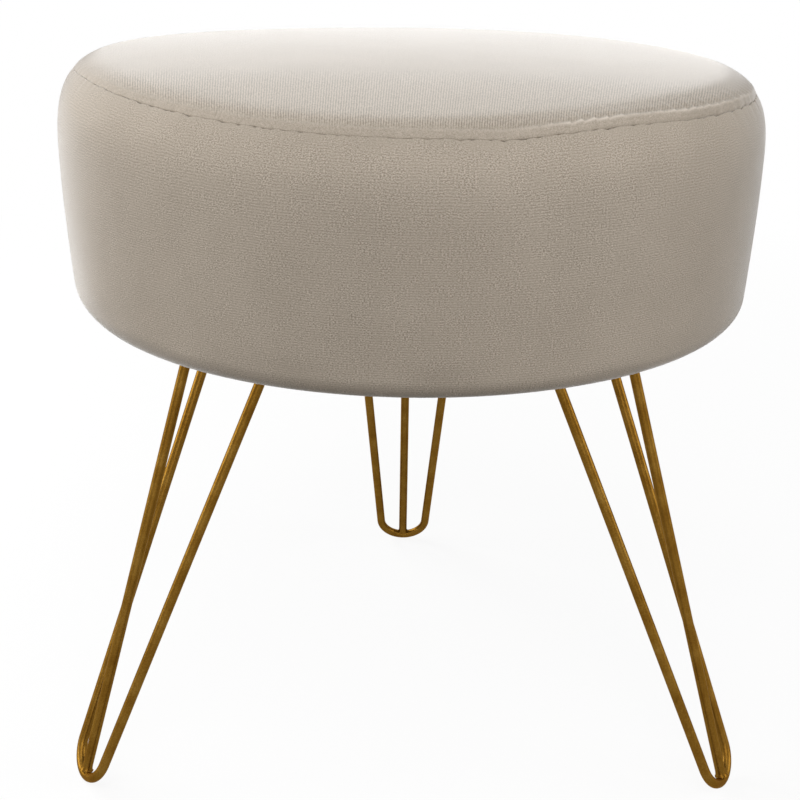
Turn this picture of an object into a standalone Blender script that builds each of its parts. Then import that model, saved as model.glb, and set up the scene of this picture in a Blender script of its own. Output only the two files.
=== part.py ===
"""A round pouf: a boarded drum under foam and a sewn cover, standing on three welded hairpin legs."""

import math

import bmesh
import bpy
from mathutils import Vector

# Seat outside, in metres
SEAT_RADIUS = 0.200
LEG_HEIGHT = 0.275  # floor to the underside of the cover
SIDE_HEIGHT = 0.087  # underside of the cover to the widest line, where the pad sits on its board
SIDE_SWELL = 0.0035  # how much the side widens on its way up to the widest line
LOWER_CORNER = 0.014  # rolled lower edge
EDGE_WIDTH = 0.036  # rounded upper edge, from the widest line inward
EDGE_HEIGHT = 0.046  # rounded upper edge, from the widest line up
EDGE_SQUARE = 2.85  # 2 rounds the edge as an ellipse, more is squarer
CROWN = 0.008  # further rise to the middle of the top
CROWN_POWER = 2.2
SEAM_INSET = 0.009  # from the widest line in to the seam
SEAM_DIP = 0.0018
RIDGE_WIDTH = 0.005  # seam allowance, folded under the top panel
RIDGE_HEIGHT = 0.0012

# Cover and padding
COVER = 0.0012
HEM = 0.0145  # flat part of the cover under the seat
DUST_COVER = 0.0006
DUST_LAP = 0.009  # how far the dust cover laps over the hem
DUST_STEP = 0.003
SIDE_FOAM = 0.0105  # at the rolled lower edge

# Drum
BASE_BOARD = 0.015
SEAT_BOARD = 0.012
BOARD_CHAMFER = 0.002
WALL_HOOP = 0.003
POST = 0.036
POST_CHAMFER = 0.002
POST_COUNT = 6

# Legs
ROD = 0.006
BEND_RADIUS = 0.0172  # of the rod's centre line
U_WIDTH = 0.0725  # between the two rods of a U, at the plate
LEG_SPREAD = 0.114  # how far the foot stands out from the U's rods at the plate
BRACE_OFFSET = 0.0345  # the third rod stands this far outside the U, at the plate
FOOT_FLAT = 0.0004  # depth of the flat that the bend stands on
WELD = 0.0035  # height of the weld round a rod's end
WELD_LEG = 0.0015  # how far the weld under a plate stands out round its rod
BEND_WELD_LEG = 0.0006  # the same for the brace's weld inside the bend
PLATE = 0.003
PLATE_CORNER = 0.009
PLATE_EAR = 0.0125  # from a rod to the screw hole beyond it
PLATE_MARGIN = 0.003  # from the plate's outer end to the dust cover's step
LEG_ANGLES = {"left": 210, "right": 330, "rear": 90}

# Screws
LEG_SCREW_LENGTH = 0.014
LEG_SCREW_RADIUS = 0.002
LEG_HEAD_RADIUS = 0.004
LEG_HEAD = 0.0024
FRAME_SCREW_LENGTH = 0.035
FRAME_SCREW_RADIUS = 0.00175
FRAME_HEAD_RADIUS = 0.0035
FRAME_HEAD = 0.003
SCREW_TIP = 0.003
SCREW_STAGGER = 0.008  # screws from below and above pass each other inside a post

CLEARANCE = 0.0003  # between pieces that touch

# How finely round forms are divided; a screw head's steps are in degrees, the cover's are shares
SEAT_FACETS = 48
SCREW_FACETS = 10
ROD_RINGS = 4  # bevel resolution of a rod, which gives it twelve sides
BEND_STEPS = 12
CORNER_STEPS = 5
LOWER_STEPS = 3
SHOULDER_STEPS = (0.06, 0.2, 0.42, 0.67, 0.94)  # of the turn from the widest line to the seam
RIDGE_STEPS = (0.3, 0.65)  # of the turn over the ridge
RIM_STEPS = (0.0, 0.3, 0.58, 0.8, 1.0)  # of the turn from the ridge to the rounded edge's end
CROWN_STEPS = (0.8, 0.58, 0.36, 0.17, 0.0)  # of the radius inside the rounded edge
HEAD_STEPS = (0, 40, 70, 90)
SMOOTH_ANGLE = math.radians(35)
MERGE = 1e-6
FLOOR_SIDE = 1.0  # of the block that cuts the feet flat
FLOOR_DEPTH = 0.01

# Heights and radii that follow from the sizes above
BOARD_Z = LEG_HEIGHT + COVER + CLEARANCE
WIDEST_Z = LEG_HEIGHT + SIDE_HEIGHT
EDGE_START = SEAT_RADIUS - EDGE_WIDTH
SEAM_RADIUS = SEAT_RADIUS - SEAM_INSET
LOWER_RADIUS = SEAT_RADIUS - SIDE_SWELL
HEM_RADIUS = LOWER_RADIUS - LOWER_CORNER - HEM
SKIN = COVER + CLEARANCE
DRUM_RADIUS = LOWER_RADIUS - SKIN - SIDE_FOAM
SEAT_BOARD_Z = WIDEST_Z - CLEARANCE - SEAT_BOARD
POST_Z = BOARD_Z + BASE_BOARD + CLEARANCE
POST_LENGTH = SEAT_BOARD_Z - CLEARANCE - POST_Z
POST_REACH = math.sqrt((DRUM_RADIUS - WALL_HOOP - CLEARANCE) ** 2 - (POST / 2) ** 2) - POST / 2
DUST_Z = BOARD_Z - CLEARANCE - DUST_COVER
PLATE_Z = DUST_Z - CLEARANCE - PLATE
PLATE_REACH = HEM_RADIUS - DUST_STEP - PLATE_MARGIN - PLATE_CORNER - PLATE_EAR - BRACE_OFFSET
FOOT_REACH = PLATE_REACH + LEG_SPREAD
ROD_RADIUS = ROD / 2
FOOT_Z = ROD_RADIUS - FOOT_FLAT
ROD_TOP = PLATE_Z - CLEARANCE
SCREW_PLACES = (
    (0, -U_WIDTH / 2 - PLATE_EAR),
    (BRACE_OFFSET + PLATE_EAR, 0),
    (0, U_WIDTH / 2 + PLATE_EAR),
)
# The seat's axis stands in front of the middle of the part, because the rear foot reaches past the seat.
AXIS_Y = (SEAT_RADIUS - FOOT_REACH - ROD_RADIUS) / 2


def finish(name, colour, roughness, metallic=0.0):
    """One plain material."""
    material = bpy.data.materials.new(name)
    material.use_nodes = True
    shader = material.node_tree.nodes["Principled BSDF"]
    shader.inputs["Base Color"].default_value = (*colour, 1)
    shader.inputs["Roughness"].default_value = roughness
    shader.inputs["Metallic"].default_value = metallic
    return material


def mesh_of(name, form, material):
    """Turn a bmesh into a mesh that is smooth on its round faces."""
    bmesh.ops.remove_doubles(form, verts=form.verts, dist=MERGE)
    bmesh.ops.recalc_face_normals(form, faces=form.faces)
    mesh = bpy.data.meshes.new(name)
    form.to_mesh(mesh)
    form.free()
    mesh.shade_smooth()
    mesh.set_sharp_from_angle(angle=SMOOTH_ANGLE)
    mesh.materials.append(material)
    return mesh


def place(name, mesh, parent, location=(0, 0, 0), turn=0.0):
    """Add one object under its parent."""
    piece = bpy.data.objects.new(name, mesh)
    bpy.context.collection.objects.link(piece)
    piece.parent = parent
    piece.location = location
    piece.rotation_euler = (0, 0, turn)
    return piece


def cut(piece, cutter):
    """Cut a hidden cutter out of a piece."""
    cutter.hide_render = True
    cutter.display_type = "WIRE"
    boolean = piece.modifiers.new(cutter.name, "BOOLEAN")
    boolean.operation = "DIFFERENCE"
    boolean.solver = "EXACT"
    boolean.object = cutter


def turned(outline, facets, ring=False):
    """Spin an outline of (radius, height) points about Z. A ring's outline closes on itself."""
    form = bmesh.new()
    points = [form.verts.new((radius, 0, height)) for radius, height in outline]
    ends = points[1:] + points[:1] if ring else points[1:]
    edges = [form.edges.new(pair) for pair in zip(points, ends)]
    bmesh.ops.spin(
        form,
        geom=points + edges,
        axis=(0, 0, 1),
        cent=(0, 0, 0),
        angle=2 * math.pi,
        steps=facets,
        use_merge=True,
    )
    return form


def lower_outline(inset):
    """Points up the seat's side below the widest line, set in from the cover's face."""
    corner = LOWER_CORNER - inset
    points = []
    for step in range(LOWER_STEPS + 1):
        angle = math.pi / 2 * step / LOWER_STEPS
        radius = LOWER_RADIUS - LOWER_CORNER + corner * math.sin(angle)
        points.append((radius, LEG_HEIGHT + LOWER_CORNER - corner * math.cos(angle)))
    radius = LOWER_RADIUS + SIDE_SWELL * math.sin(math.pi / 4) - inset
    points.append((radius, (LEG_HEIGHT + LOWER_CORNER + WIDEST_Z) / 2))
    return points


def edge_turn(radius):
    """The turn, from the widest line up, at which the rounded upper edge has this radius."""
    return math.acos(((radius - EDGE_START) / EDGE_WIDTH) ** (EDGE_SQUARE / 2))


def crown_rise(radius):
    """How far the crown lifts the top at this radius."""
    return CROWN * (1 - (radius / SEAT_RADIUS) ** CROWN_POWER)


def edge_point(turn, inset):
    """Point of the rounded upper edge at a turn, set in from the cover's face."""
    radius = EDGE_START + (EDGE_WIDTH - inset) * math.cos(turn) ** (2 / EDGE_SQUARE)
    rise = (EDGE_HEIGHT - inset) * math.sin(turn) ** (2 / EDGE_SQUARE)
    return radius, WIDEST_Z + rise + crown_rise(radius)


def shoulder_outline(inset):
    """Points from above the widest line to just short of the seam, set in from the cover's face."""
    return [edge_point(edge_turn(SEAM_RADIUS) * share, inset) for share in SHOULDER_STEPS]


def side_outline(inset):
    """Points up the whole side, from the flat underside to just short of the seam."""
    return lower_outline(inset) + [(SEAT_RADIUS - inset, WIDEST_Z)] + shoulder_outline(inset)


def seam_point(inset, aside=0.0):
    """The bottom of the groove that the seam pulls into the pad, or this far outside it."""
    return edge_point(edge_turn(SEAM_RADIUS + aside), SEAM_DIP + inset)


def ridge_outline():
    """Points over the ridge that the folded seam allowance raises."""
    first = edge_turn(SEAM_RADIUS)
    last = edge_turn(SEAM_RADIUS - RIDGE_WIDTH)
    points = []
    for share in RIDGE_STEPS:
        radius, height = edge_point(first + (last - first) * share, 0)
        points.append((radius, height + RIDGE_HEIGHT * math.sin(math.pi * share)))
    return points


def crown_outline(inset):
    """Points over the top, from inside the seam ridge to the middle."""
    first = edge_turn(SEAM_RADIUS - RIDGE_WIDTH)
    last = math.pi / 2
    points = [edge_point(first + (last - first) * share, inset) for share in RIM_STEPS]
    top = WIDEST_Z + EDGE_HEIGHT - inset
    for share in CROWN_STEPS:
        radius = EDGE_START * share
        points.append((radius, top + crown_rise(radius)))
    return points


def cover_band(parent, material):
    """Side band of the cover, with its hem under the seat."""
    edge = CLEARANCE / 2
    outside = [(HEM_RADIUS, LEG_HEIGHT)] + side_outline(0) + [seam_point(0, edge)]
    inside = [(HEM_RADIUS, LEG_HEIGHT + COVER)] + side_outline(COVER) + [seam_point(COVER, edge)]
    mesh = mesh_of("cover_band", turned(outside + inside[::-1], SEAT_FACETS, ring=True), material)
    return place("cover_band", mesh, parent)


def cover_top(parent, material):
    """Top panel of the cover, with the ridge that the folded seam allowance raises."""
    edge = -CLEARANCE / 2
    outside = [seam_point(0, edge)] + ridge_outline() + crown_outline(0)
    inside = [seam_point(COVER, edge)] + crown_outline(COVER)
    mesh = mesh_of("cover_top", turned(inside[::-1] + outside, SEAT_FACETS), material)
    return place("cover_top", mesh, parent)


def top_foam(parent, material):
    """Foam pad on the seat board, drawn in at the seam."""
    floor = WIDEST_Z + CLEARANCE / 2
    widest = SEAT_RADIUS - SKIN
    outline = [(0, floor), (widest, floor)] + shoulder_outline(SKIN) + [seam_point(SKIN)]
    outline += crown_outline(SKIN)
    mesh = mesh_of("top_foam", turned(outline, SEAT_FACETS), material)
    return place("top_foam", mesh, parent)


def side_foam(parent, material):
    """Foam sheet round the drum, rounded at its lower edge as the cover is."""
    inner = DRUM_RADIUS + CLEARANCE
    outside = lower_outline(SKIN)
    first = next(index for index, (radius, _) in enumerate(outside) if radius > inner)
    (before, low), (after, high) = outside[first - 1 : first + 1]
    foot = low + (high - low) * (inner - before) / (after - before)
    top = WIDEST_Z - CLEARANCE / 2
    outline = [(inner, foot)] + outside[first:] + [(SEAT_RADIUS - SKIN, top), (inner, top)]
    mesh = mesh_of("side_foam", turned(outline, SEAT_FACETS, ring=True), material)
    return place("side_foam", mesh, parent)


def board(name, bottom, thickness, parent, material):
    """A round board with both edges broken."""
    top = bottom + thickness
    shy = DRUM_RADIUS - BOARD_CHAMFER
    outline = [
        (0, bottom),
        (shy, bottom),
        (DRUM_RADIUS, bottom + BOARD_CHAMFER),
        (DRUM_RADIUS, top - BOARD_CHAMFER),
        (shy, top),
        (0, top),
    ]
    return place(name, mesh_of(name, turned(outline, SEAT_FACETS), material), parent)


def wall_hoop(parent, material):
    """Strip bent round the posts, between the boards."""
    inner = DRUM_RADIUS - WALL_HOOP
    top = POST_Z + POST_LENGTH
    outline = [(inner, POST_Z), (DRUM_RADIUS, POST_Z), (DRUM_RADIUS, top), (inner, top)]
    mesh = mesh_of("wall_hoop", turned(outline, SEAT_FACETS, ring=True), material)
    return place("wall_hoop", mesh, parent)


def posts(parent, material):
    """Square posts inside the hoop, all with one mesh."""
    form = bmesh.new()
    bmesh.ops.create_cube(form, size=1)
    bmesh.ops.scale(form, vec=(POST, POST, POST_LENGTH), verts=form.verts)
    upright = [edge for edge in form.edges if abs(edge.verts[0].co.z - edge.verts[1].co.z) > MERGE]
    bmesh.ops.bevel(form, geom=upright, offset=POST_CHAMFER, segments=1, affect="EDGES")
    mesh = mesh_of("post", form, material)
    made = []
    for number in range(POST_COUNT):
        angle = 2 * math.pi * number / POST_COUNT
        spot = (POST_REACH * math.cos(angle), POST_REACH * math.sin(angle), POST_Z + POST_LENGTH / 2)
        made.append(place(f"post_{number + 1}", mesh, parent, spot, angle))
    return made


def dust_cover(parent, material):
    """Cloth under the base board, stepping down over the hem."""
    step = HEM_RADIUS - DUST_STEP
    lap = HEM_RADIUS + DUST_LAP
    low = LEG_HEIGHT - CLEARANCE - DUST_COVER
    neck = HEM_RADIUS - CLEARANCE
    upper = [(0, DUST_Z + DUST_COVER), (step + DUST_COVER, DUST_Z + DUST_COVER)]
    upper += [(neck, low + DUST_COVER), (lap, low + DUST_COVER)]
    lower = [(lap, low), (neck - DUST_COVER, low), (step, DUST_Z), (0, DUST_Z)]
    mesh = mesh_of("dust_cover", turned(upper + lower, SEAT_FACETS), material)
    return place("dust_cover", mesh, parent)


def screw_outline(radius, length, head_radius, head, spare=0.0, sunk=False):
    """A screw pointing up with the seat of its head at height 0, or a hole for it with spare room."""
    girth = radius + spare
    tip = [(girth, length - SCREW_TIP), (0, length + spare)]
    if sunk:
        return [(0, -spare), (head_radius + spare, -spare), (girth, head)] + tip
    dome = []
    for degrees in HEAD_STEPS:
        angle = math.radians(degrees)
        dome.append((head_radius * math.sin(angle), -head * math.cos(angle)))
    return dome + [(girth, 0)] + tip


def frame_screw_outline(spare=0.0):
    """Countersunk screw through a board into a post."""
    return screw_outline(
        FRAME_SCREW_RADIUS, FRAME_SCREW_LENGTH, FRAME_HEAD_RADIUS, FRAME_HEAD, spare, sunk=True
    )


def frame_screws(parent, material, base, top, all_posts):
    """Countersunk screws up through the base board and down through the seat board, with their holes."""
    mesh = mesh_of("frame_screw", turned(frame_screw_outline(), SCREW_FACETS), material)
    hole = mesh_of("frame_screw_hole", turned(frame_screw_outline(CLEARANCE), SCREW_FACETS), material)
    seats = {
        "base_screw": (BOARD_Z, 0.0, -SCREW_STAGGER, base),
        "seat_screw": (WIDEST_Z - CLEARANCE, math.pi, SCREW_STAGGER, top),
    }
    for kind, (height, flip, stagger, drilled) in seats.items():
        for number, post in enumerate(all_posts):
            angle = 2 * math.pi * number / POST_COUNT
            reach = POST_REACH + stagger
            spot = (reach * math.cos(angle), reach * math.sin(angle), height)
            screw = place(f"{kind}_{number + 1}", mesh, parent, spot)
            screw.rotation_euler.x = flip
            cutter = place(f"{kind}_hole_{number + 1}", hole, parent, spot)
            cutter.rotation_euler.x = flip
            cut(drilled, cutter)
            cut(post, cutter)


def rod_mesh(name, path, material):
    """A round rod along a path of (point, radius)."""
    curve = bpy.data.curves.new(name, "CURVE")
    curve.dimensions = "3D"
    curve.bevel_depth = ROD_RADIUS
    curve.bevel_resolution = ROD_RINGS
    curve.use_fill_caps = True
    spline = curve.splines.new("POLY")
    spline.points.add(len(path) - 1)
    for point, (spot, radius) in zip(spline.points, path):
        point.co = (*spot, 1)
        point.radius = radius / ROD_RADIUS
    guide = bpy.data.objects.new(name, curve)
    form = bmesh.new()
    form.from_mesh(bpy.data.meshes.new_from_object(guide))
    bpy.data.objects.remove(guide)
    return mesh_of(name, form, material)


def hairpin_mesh(material):
    """The U of a leg, in the leg's own frame: X outward, the bend standing on the floor."""
    foot = Vector((FOOT_REACH, 0, FOOT_Z))
    top = Vector((PLATE_REACH, 0, ROD_TOP - WELD))
    rise = (top - foot).length
    up = (top - foot).normalized()
    across = Vector((0, 1, 0))
    reach = math.hypot(U_WIDTH / 2, rise - BEND_RADIUS)
    touch = math.atan2(rise - BEND_RADIUS, U_WIDTH / 2) - math.acos(BEND_RADIUS / reach)
    sweep = math.pi + 2 * touch
    path = []
    for step in range(BEND_STEPS + 1):
        angle = math.pi - touch + sweep * step / BEND_STEPS
        side = BEND_RADIUS * math.cos(angle)
        lift = BEND_RADIUS * (1 + math.sin(angle))
        path.append((foot + across * side + up * lift, ROD_RADIUS))
    half = across * (U_WIDTH / 2)
    weld = Vector((0, 0, WELD))
    flared = ROD_RADIUS + WELD_LEG
    first = [(top - half + weld, flared), (top - half, ROD_RADIUS)]
    last = [(top + half, ROD_RADIUS), (top + half + weld, flared)]
    return rod_mesh("hairpin_rod", first + path + last, material)


def brace_mesh(material):
    """The third rod, from its weld inside the bend to its weld under the plate."""
    foot = Vector((FOOT_REACH, 0, FOOT_Z))
    top = Vector((PLATE_REACH + BRACE_OFFSET, 0, ROD_TOP - WELD))
    along = (top - foot).normalized()
    end = ROD_RADIUS + BEND_WELD_LEG
    seat = foot + along * (ROD_RADIUS + end**2 / (2 * BEND_RADIUS) + CLEARANCE)
    path = [
        (seat, end),
        (seat + along * WELD, ROD_RADIUS),
        (top, ROD_RADIUS),
        (top + Vector((0, 0, WELD)), ROD_RADIUS + WELD_LEG),
    ]
    return rod_mesh("brace_rod", path, material)


def rounded_corners(corners, radius):
    """An outline round these corners, which run anticlockwise, with an arc at each."""
    outline = []
    count = len(corners)
    for index, corner in enumerate(corners):
        into = Vector(corner) - Vector(corners[index - 1])
        out = Vector(corners[(index + 1) % count]) - Vector(corner)
        start = math.atan2(into.y, into.x) - math.pi / 2
        bend = into.normalized().angle_signed(out.normalized())
        for step in range(CORNER_STEPS + 1):
            angle = start - bend * step / CORNER_STEPS
            outline.append((corner[0] + radius * math.cos(angle), corner[1] + radius * math.sin(angle)))
    return outline


def plate_mesh(material):
    """Rounded triangular plate with a screw hole in each corner, in the leg's own frame."""
    form = bmesh.new()
    loops = [rounded_corners(SCREW_PLACES, PLATE_CORNER)]
    hole = LEG_SCREW_RADIUS + CLEARANCE
    for x, y in SCREW_PLACES:
        turns = [2 * math.pi * step / SCREW_FACETS for step in range(SCREW_FACETS)]
        loops.append([(x + hole * math.cos(turn), y + hole * math.sin(turn)) for turn in turns])
    edges = []
    for loop in loops:
        points = [form.verts.new((PLATE_REACH + x, y, PLATE_Z)) for x, y in loop]
        edges += [form.edges.new(pair) for pair in zip(points, points[1:] + points[:1])]
    bmesh.ops.triangle_fill(form, edges=edges, use_beauty=True)
    raised = bmesh.ops.extrude_face_region(form, geom=form.faces[:], use_keep_orig=True)
    upper = [item for item in raised["geom"] if isinstance(item, bmesh.types.BMVert)]
    bmesh.ops.translate(form, vec=(0, 0, PLATE), verts=upper)
    return mesh_of("leg_plate", form, material)


def legs(parent, metal, steel, base, dust):
    """Three alike legs, each under an empty that is turned to the leg's place."""
    hairpin = hairpin_mesh(metal)
    brace = brace_mesh(metal)
    plate = plate_mesh(metal)
    outline = screw_outline(LEG_SCREW_RADIUS, LEG_SCREW_LENGTH, LEG_HEAD_RADIUS, LEG_HEAD)
    screw = mesh_of("leg_screw", turned(outline, SCREW_FACETS), steel)
    room = LEG_SCREW_RADIUS + CLEARANCE
    bore = [(0, 0), (room, 0), (room, LEG_SCREW_LENGTH - SCREW_TIP), (0, LEG_SCREW_LENGTH + CLEARANCE)]
    hole = mesh_of("leg_screw_hole", turned(bore, SCREW_FACETS), steel)
    form = bmesh.new()
    bmesh.ops.create_cube(form, size=1)
    bmesh.ops.scale(form, vec=(FLOOR_SIDE, FLOOR_SIDE, FLOOR_DEPTH), verts=form.verts)
    floor = place("floor_cutter", mesh_of("floor_cutter", form, steel), parent, (0, 0, -FLOOR_DEPTH / 2))
    for side, degrees in LEG_ANGLES.items():
        leg = place(f"leg_{side}", None, parent, turn=math.radians(degrees))
        rod = place(f"hairpin_rod_{side}", hairpin, leg)
        cut(rod, floor)
        place(f"brace_rod_{side}", brace, leg)
        place(f"leg_plate_{side}", plate, leg)
        for number, (x, y) in enumerate(SCREW_PLACES):
            spot = (PLATE_REACH + x, y, PLATE_Z - CLEARANCE)
            place(f"leg_screw_{side}_{number + 1}", screw, leg, spot)
            cutter = place(f"leg_hole_{side}_{number + 1}", hole, leg, spot)
            cut(base, cutter)
            cut(dust, cutter)


def main():
    for item in list(bpy.data.objects):
        bpy.data.objects.remove(item)
    fabric = finish("taupe suede cloth", (0.45, 0.388, 0.318), 0.9)
    foam = finish("foam", (0.85, 0.80, 0.66), 0.95)
    plywood = finish("plywood", (0.62, 0.45, 0.28), 0.7)
    pine = finish("pine", (0.72, 0.53, 0.32), 0.7)
    fibreboard = finish("fibreboard", (0.30, 0.19, 0.11), 0.8)
    cloth = finish("black non-woven cloth", (0.02, 0.02, 0.02), 0.95)
    gold = finish("satin gold metal", (0.23, 0.13, 0.026), 0.38, 1.0)
    zinc = finish("zinc-plated steel", (0.62, 0.62, 0.60), 0.35, 1.0)

    axis = place("seat_axis", None, None, (0, AXIS_Y, 0))
    base = board("base_board", BOARD_Z, BASE_BOARD, axis, plywood)
    top = board("seat_board", SEAT_BOARD_Z, SEAT_BOARD, axis, plywood)
    wall_hoop(axis, fibreboard)
    all_posts = posts(axis, pine)
    frame_screws(axis, zinc, base, top, all_posts)
    side_foam(axis, foam)
    top_foam(axis, foam)
    cover_band(axis, fabric)
    cover_top(axis, fabric)
    dust = dust_cover(axis, cloth)
    legs(axis, gold, zinc, base, dust)


main()
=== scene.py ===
"""Looks of a round pouf: a suede cover sewn over a padded drum, on three welded hairpin legs."""

import math

import bmesh
import bpy
import numpy as np
from mathutils import Matrix, Vector
from mathutils.bvhtree import BVHTree


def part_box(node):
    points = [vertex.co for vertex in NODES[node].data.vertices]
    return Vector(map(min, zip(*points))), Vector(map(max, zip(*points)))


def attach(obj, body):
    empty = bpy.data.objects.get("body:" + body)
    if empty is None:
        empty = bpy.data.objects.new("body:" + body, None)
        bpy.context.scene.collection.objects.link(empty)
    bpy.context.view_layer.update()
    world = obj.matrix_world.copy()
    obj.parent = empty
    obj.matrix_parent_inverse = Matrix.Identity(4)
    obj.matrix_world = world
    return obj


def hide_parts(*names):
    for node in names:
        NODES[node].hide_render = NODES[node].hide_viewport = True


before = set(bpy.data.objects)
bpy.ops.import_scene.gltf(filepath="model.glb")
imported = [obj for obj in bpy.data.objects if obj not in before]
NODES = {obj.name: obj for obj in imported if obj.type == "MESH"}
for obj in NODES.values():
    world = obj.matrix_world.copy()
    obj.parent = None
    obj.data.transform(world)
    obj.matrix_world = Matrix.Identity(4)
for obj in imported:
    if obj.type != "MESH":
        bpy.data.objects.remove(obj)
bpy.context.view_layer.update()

BODY = "root"
SIDES = ("left", "right", "rear")

# The seat's sizes, in metres, read off the solids where their boxes show them
BOARD_LOW, BOARD_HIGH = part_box("base_board")
BAND_LOW, BAND_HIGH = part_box("cover_band")
AXIS = Vector(((BOARD_LOW.x + BOARD_HIGH.x) / 2, (BOARD_LOW.y + BOARD_HIGH.y) / 2, 0))
DRUM_RADIUS = (BOARD_HIGH.x - BOARD_LOW.x) / 2
SEAT_RADIUS = (BAND_HIGH.x - BAND_LOW.x) / 2
UNDERSIDE_Z = BAND_LOW.z
CROWN_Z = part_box("cover_top")[1].z
PAD_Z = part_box("top_foam")[0].z
PAD_RADIUS = 0.188
WIDEST_Z = UNDERSIDE_Z + 0.087
SIDE_SWELL = 0.0035
LOWER_RADIUS = SEAT_RADIUS - SIDE_SWELL
LOWER_CORNER = 0.0125
HEM_RADIUS = 0.168
COVER = 0.0012
GAP = 0.0003

# The seat's rounded edge and crown, from the widest line to the middle
EDGE_WIDTH = 0.036
EDGE_HEIGHT = 0.0462
EDGE_SQUARE = 2.85  # 2 is an ellipse, more is squarer
CROWN = CROWN_Z - WIDEST_Z - EDGE_HEIGHT
CROWN_POWER = 2.2

# Where the seam lies on that edge, and how the cover sits unevenly on its foam
SEAM_CIRCLE = 0.191
SEAM_RIGHT = 0.003  # how much further out it lies at the right
SEAM_FRONT = 0.003  # how much further in it lies at the front
SEAM_SAGS = (  # where the sewn line strays: middle, reach and how far outward
    (math.radians(180), math.radians(14), 0.0043),
    (math.radians(283), math.radians(6), 0.0010),
    (math.radians(302), math.radians(10), -0.0013),
)
SEAM_WANDER = 0.00025
COVER_WAVES = (  # count round the seat, height, where one stands highest
    (1, 0.0048, math.radians(250)),
    (2, 0.0030, math.radians(-4)),
    (3, 0.0013, math.radians(73)),
)
WAVES_WHOLE = 0.043  # above the widest line, where those waves have their whole height
LEAN_LOW = -0.009  # the seat's lower edge sits a little lower to the right

# How the cover is sewn and pulled
SEAM_LIP = 0.0010  # how wide the groove is on the band's side, at a stitch
SEAM_DEPTH = 0.0024  # at a stitch
SEAM_SHUT = 0.26  # share of both that is left between stitches
SEAM_GAP = 0.0001  # between the two panels at the bottom of the groove
SEAM_TIGHT = 0.65  # share of the groove that is lost where the seam is sewn tightest
SEAM_TIGHT_AT = math.radians(186)
SEAM_TIGHT_REACH = math.radians(20)
RIDGE_HEIGHT = 0.0019  # of the folded seam along the top panel's edge
RIDGE_CREST = 0.0044  # from the seam
RIDGE_FALL = 0.011  # how wide the ridge's inner slope is
RIDGE_DROP = 0.3  # share of its height that falls away close behind the crest
RIDGE_DROP_REACH = 0.0018
RIDGE_STOPS = (  # how much of the ridge stands up at each turn
    (math.radians(180), 0.08),
    (math.radians(225), 0.15),
    (math.radians(255), 0.38),
    (math.radians(278), 0.50),
    (math.radians(290), 0.90),
    (math.radians(315), 1.00),
    (math.radians(332), 0.95),
    (math.radians(350), 0.30),
    (math.radians(365), 0.08),
)
PUCKER_COUNT = 150
PUCKER_SHIFT = 0.0008  # how far a pucker's crest climbs away from the seam along its length
PUCKER_DEPTH = 0.3  # share of the ridge's height that it climbs
PUCKER_WANDER = 2.2  # how unevenly the puckers are spaced
PUCKER_MEAN = 0.62  # of their strength
PUCKER_SPREAD = 0.5  # how far it strays from that
PUCKER_LEAST = 0.15
PUCKER_MOST = 1.1
BAND_PUCKER = 0.0002
BAND_PUCKER_REACH = 0.005
# A highlight painted into the cloth's colour along the ridge's crest, where its fold catches the light
CREST_HIGHLIGHT_REACH = 0.0007  # either way from the crest, where a highlight is painted lighter into the cloth's colour
CREST_HIGHLIGHT_LEAST = 0.3  # share of the painted highlight that doesn't go with the puckers' strength
CREST_HIGHLIGHT_MEAN = 0.75
CREST_HIGHLIGHT_CLIMB = 0.5  # how much brighter the painted highlight is at a pucker's upper end than at its lower one
STITCH_COUNT = 150
STITCH_PULL = 0.0003  # how far single stitches draw the cloth in
STITCH_WIDTH = 0.0016
STITCH_SPACES = (0.5, 1.5)  # least and most, as shares of the usual one, as for the next two
STITCH_DEPTHS = (0.25, 1.1)
STITCH_WIDTHS = (0.5, 1.7)
STITCH_SINK = 0.0014  # how deep the thread lies in the groove
THREAD_COUNT = 330
THREAD_LENGTH = 0.0030
THREAD_RADIUS = 0.00032
THREAD_SLANT = 0.22
JOIN_AT = math.pi / 2  # the band's own join, at the back
JOIN_DEPTH = 0.0014
JOIN_WIDTH = 0.0011
JOIN_SPAN = (0.017, 0.027)  # up the band from the hem's edge, where the join sets in
FLAP_HEIGHT = 0.25 * JOIN_DEPTH  # of the turned-in cloth beside the join
FLAP_OFF = 0.004
FLAP_WIDTH = 0.003
PLEAT_COUNT = 84
PLEAT_HEIGHT = 0.0009
PLEAT_AT = 0.012  # up the band from the hem's edge
PLEAT_REACH = 0.0045
PLEAT_WANDER = 1.2
PLEAT_SHARPNESS = 3
PLEAT_MEAN = 0.6
PLEAT_SPREAD = 0.4
UNEVEN = 0.0005  # of the foam under the cloth
SWELL = 0.0020  # how much smaller the cover is before its padding blows it out
SWELL_SPARE = 0.012  # share by which the band's cloth is cut too long
SWELL_CAP = 0.001  # furthest that the swelled cloth may stand off its outline
SWELL_FRAMES = 20
SWELL_PRESSURE = 4.0
KEPT_WAVES = 30  # round the seat; shorter creases of the swelling are smoothed away
SEAM_TAUT = 0.6  # share of the swelling that the seam holds down
SEAM_TAUT_REACH = 0.015
HEM_LOOSE = 0.3  # share of it that is left at the hem
HEM_SPAN = (0.02, 0.055)  # up the band from the hem's edge, where the rest sets in
BACK_RISE = 0.014  # above the pad's foot, where the hidden backs of band and top panel end
WALL_RINGS = (WIDEST_Z - 0.03, UNDERSIDE_Z + 0.02)

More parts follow.
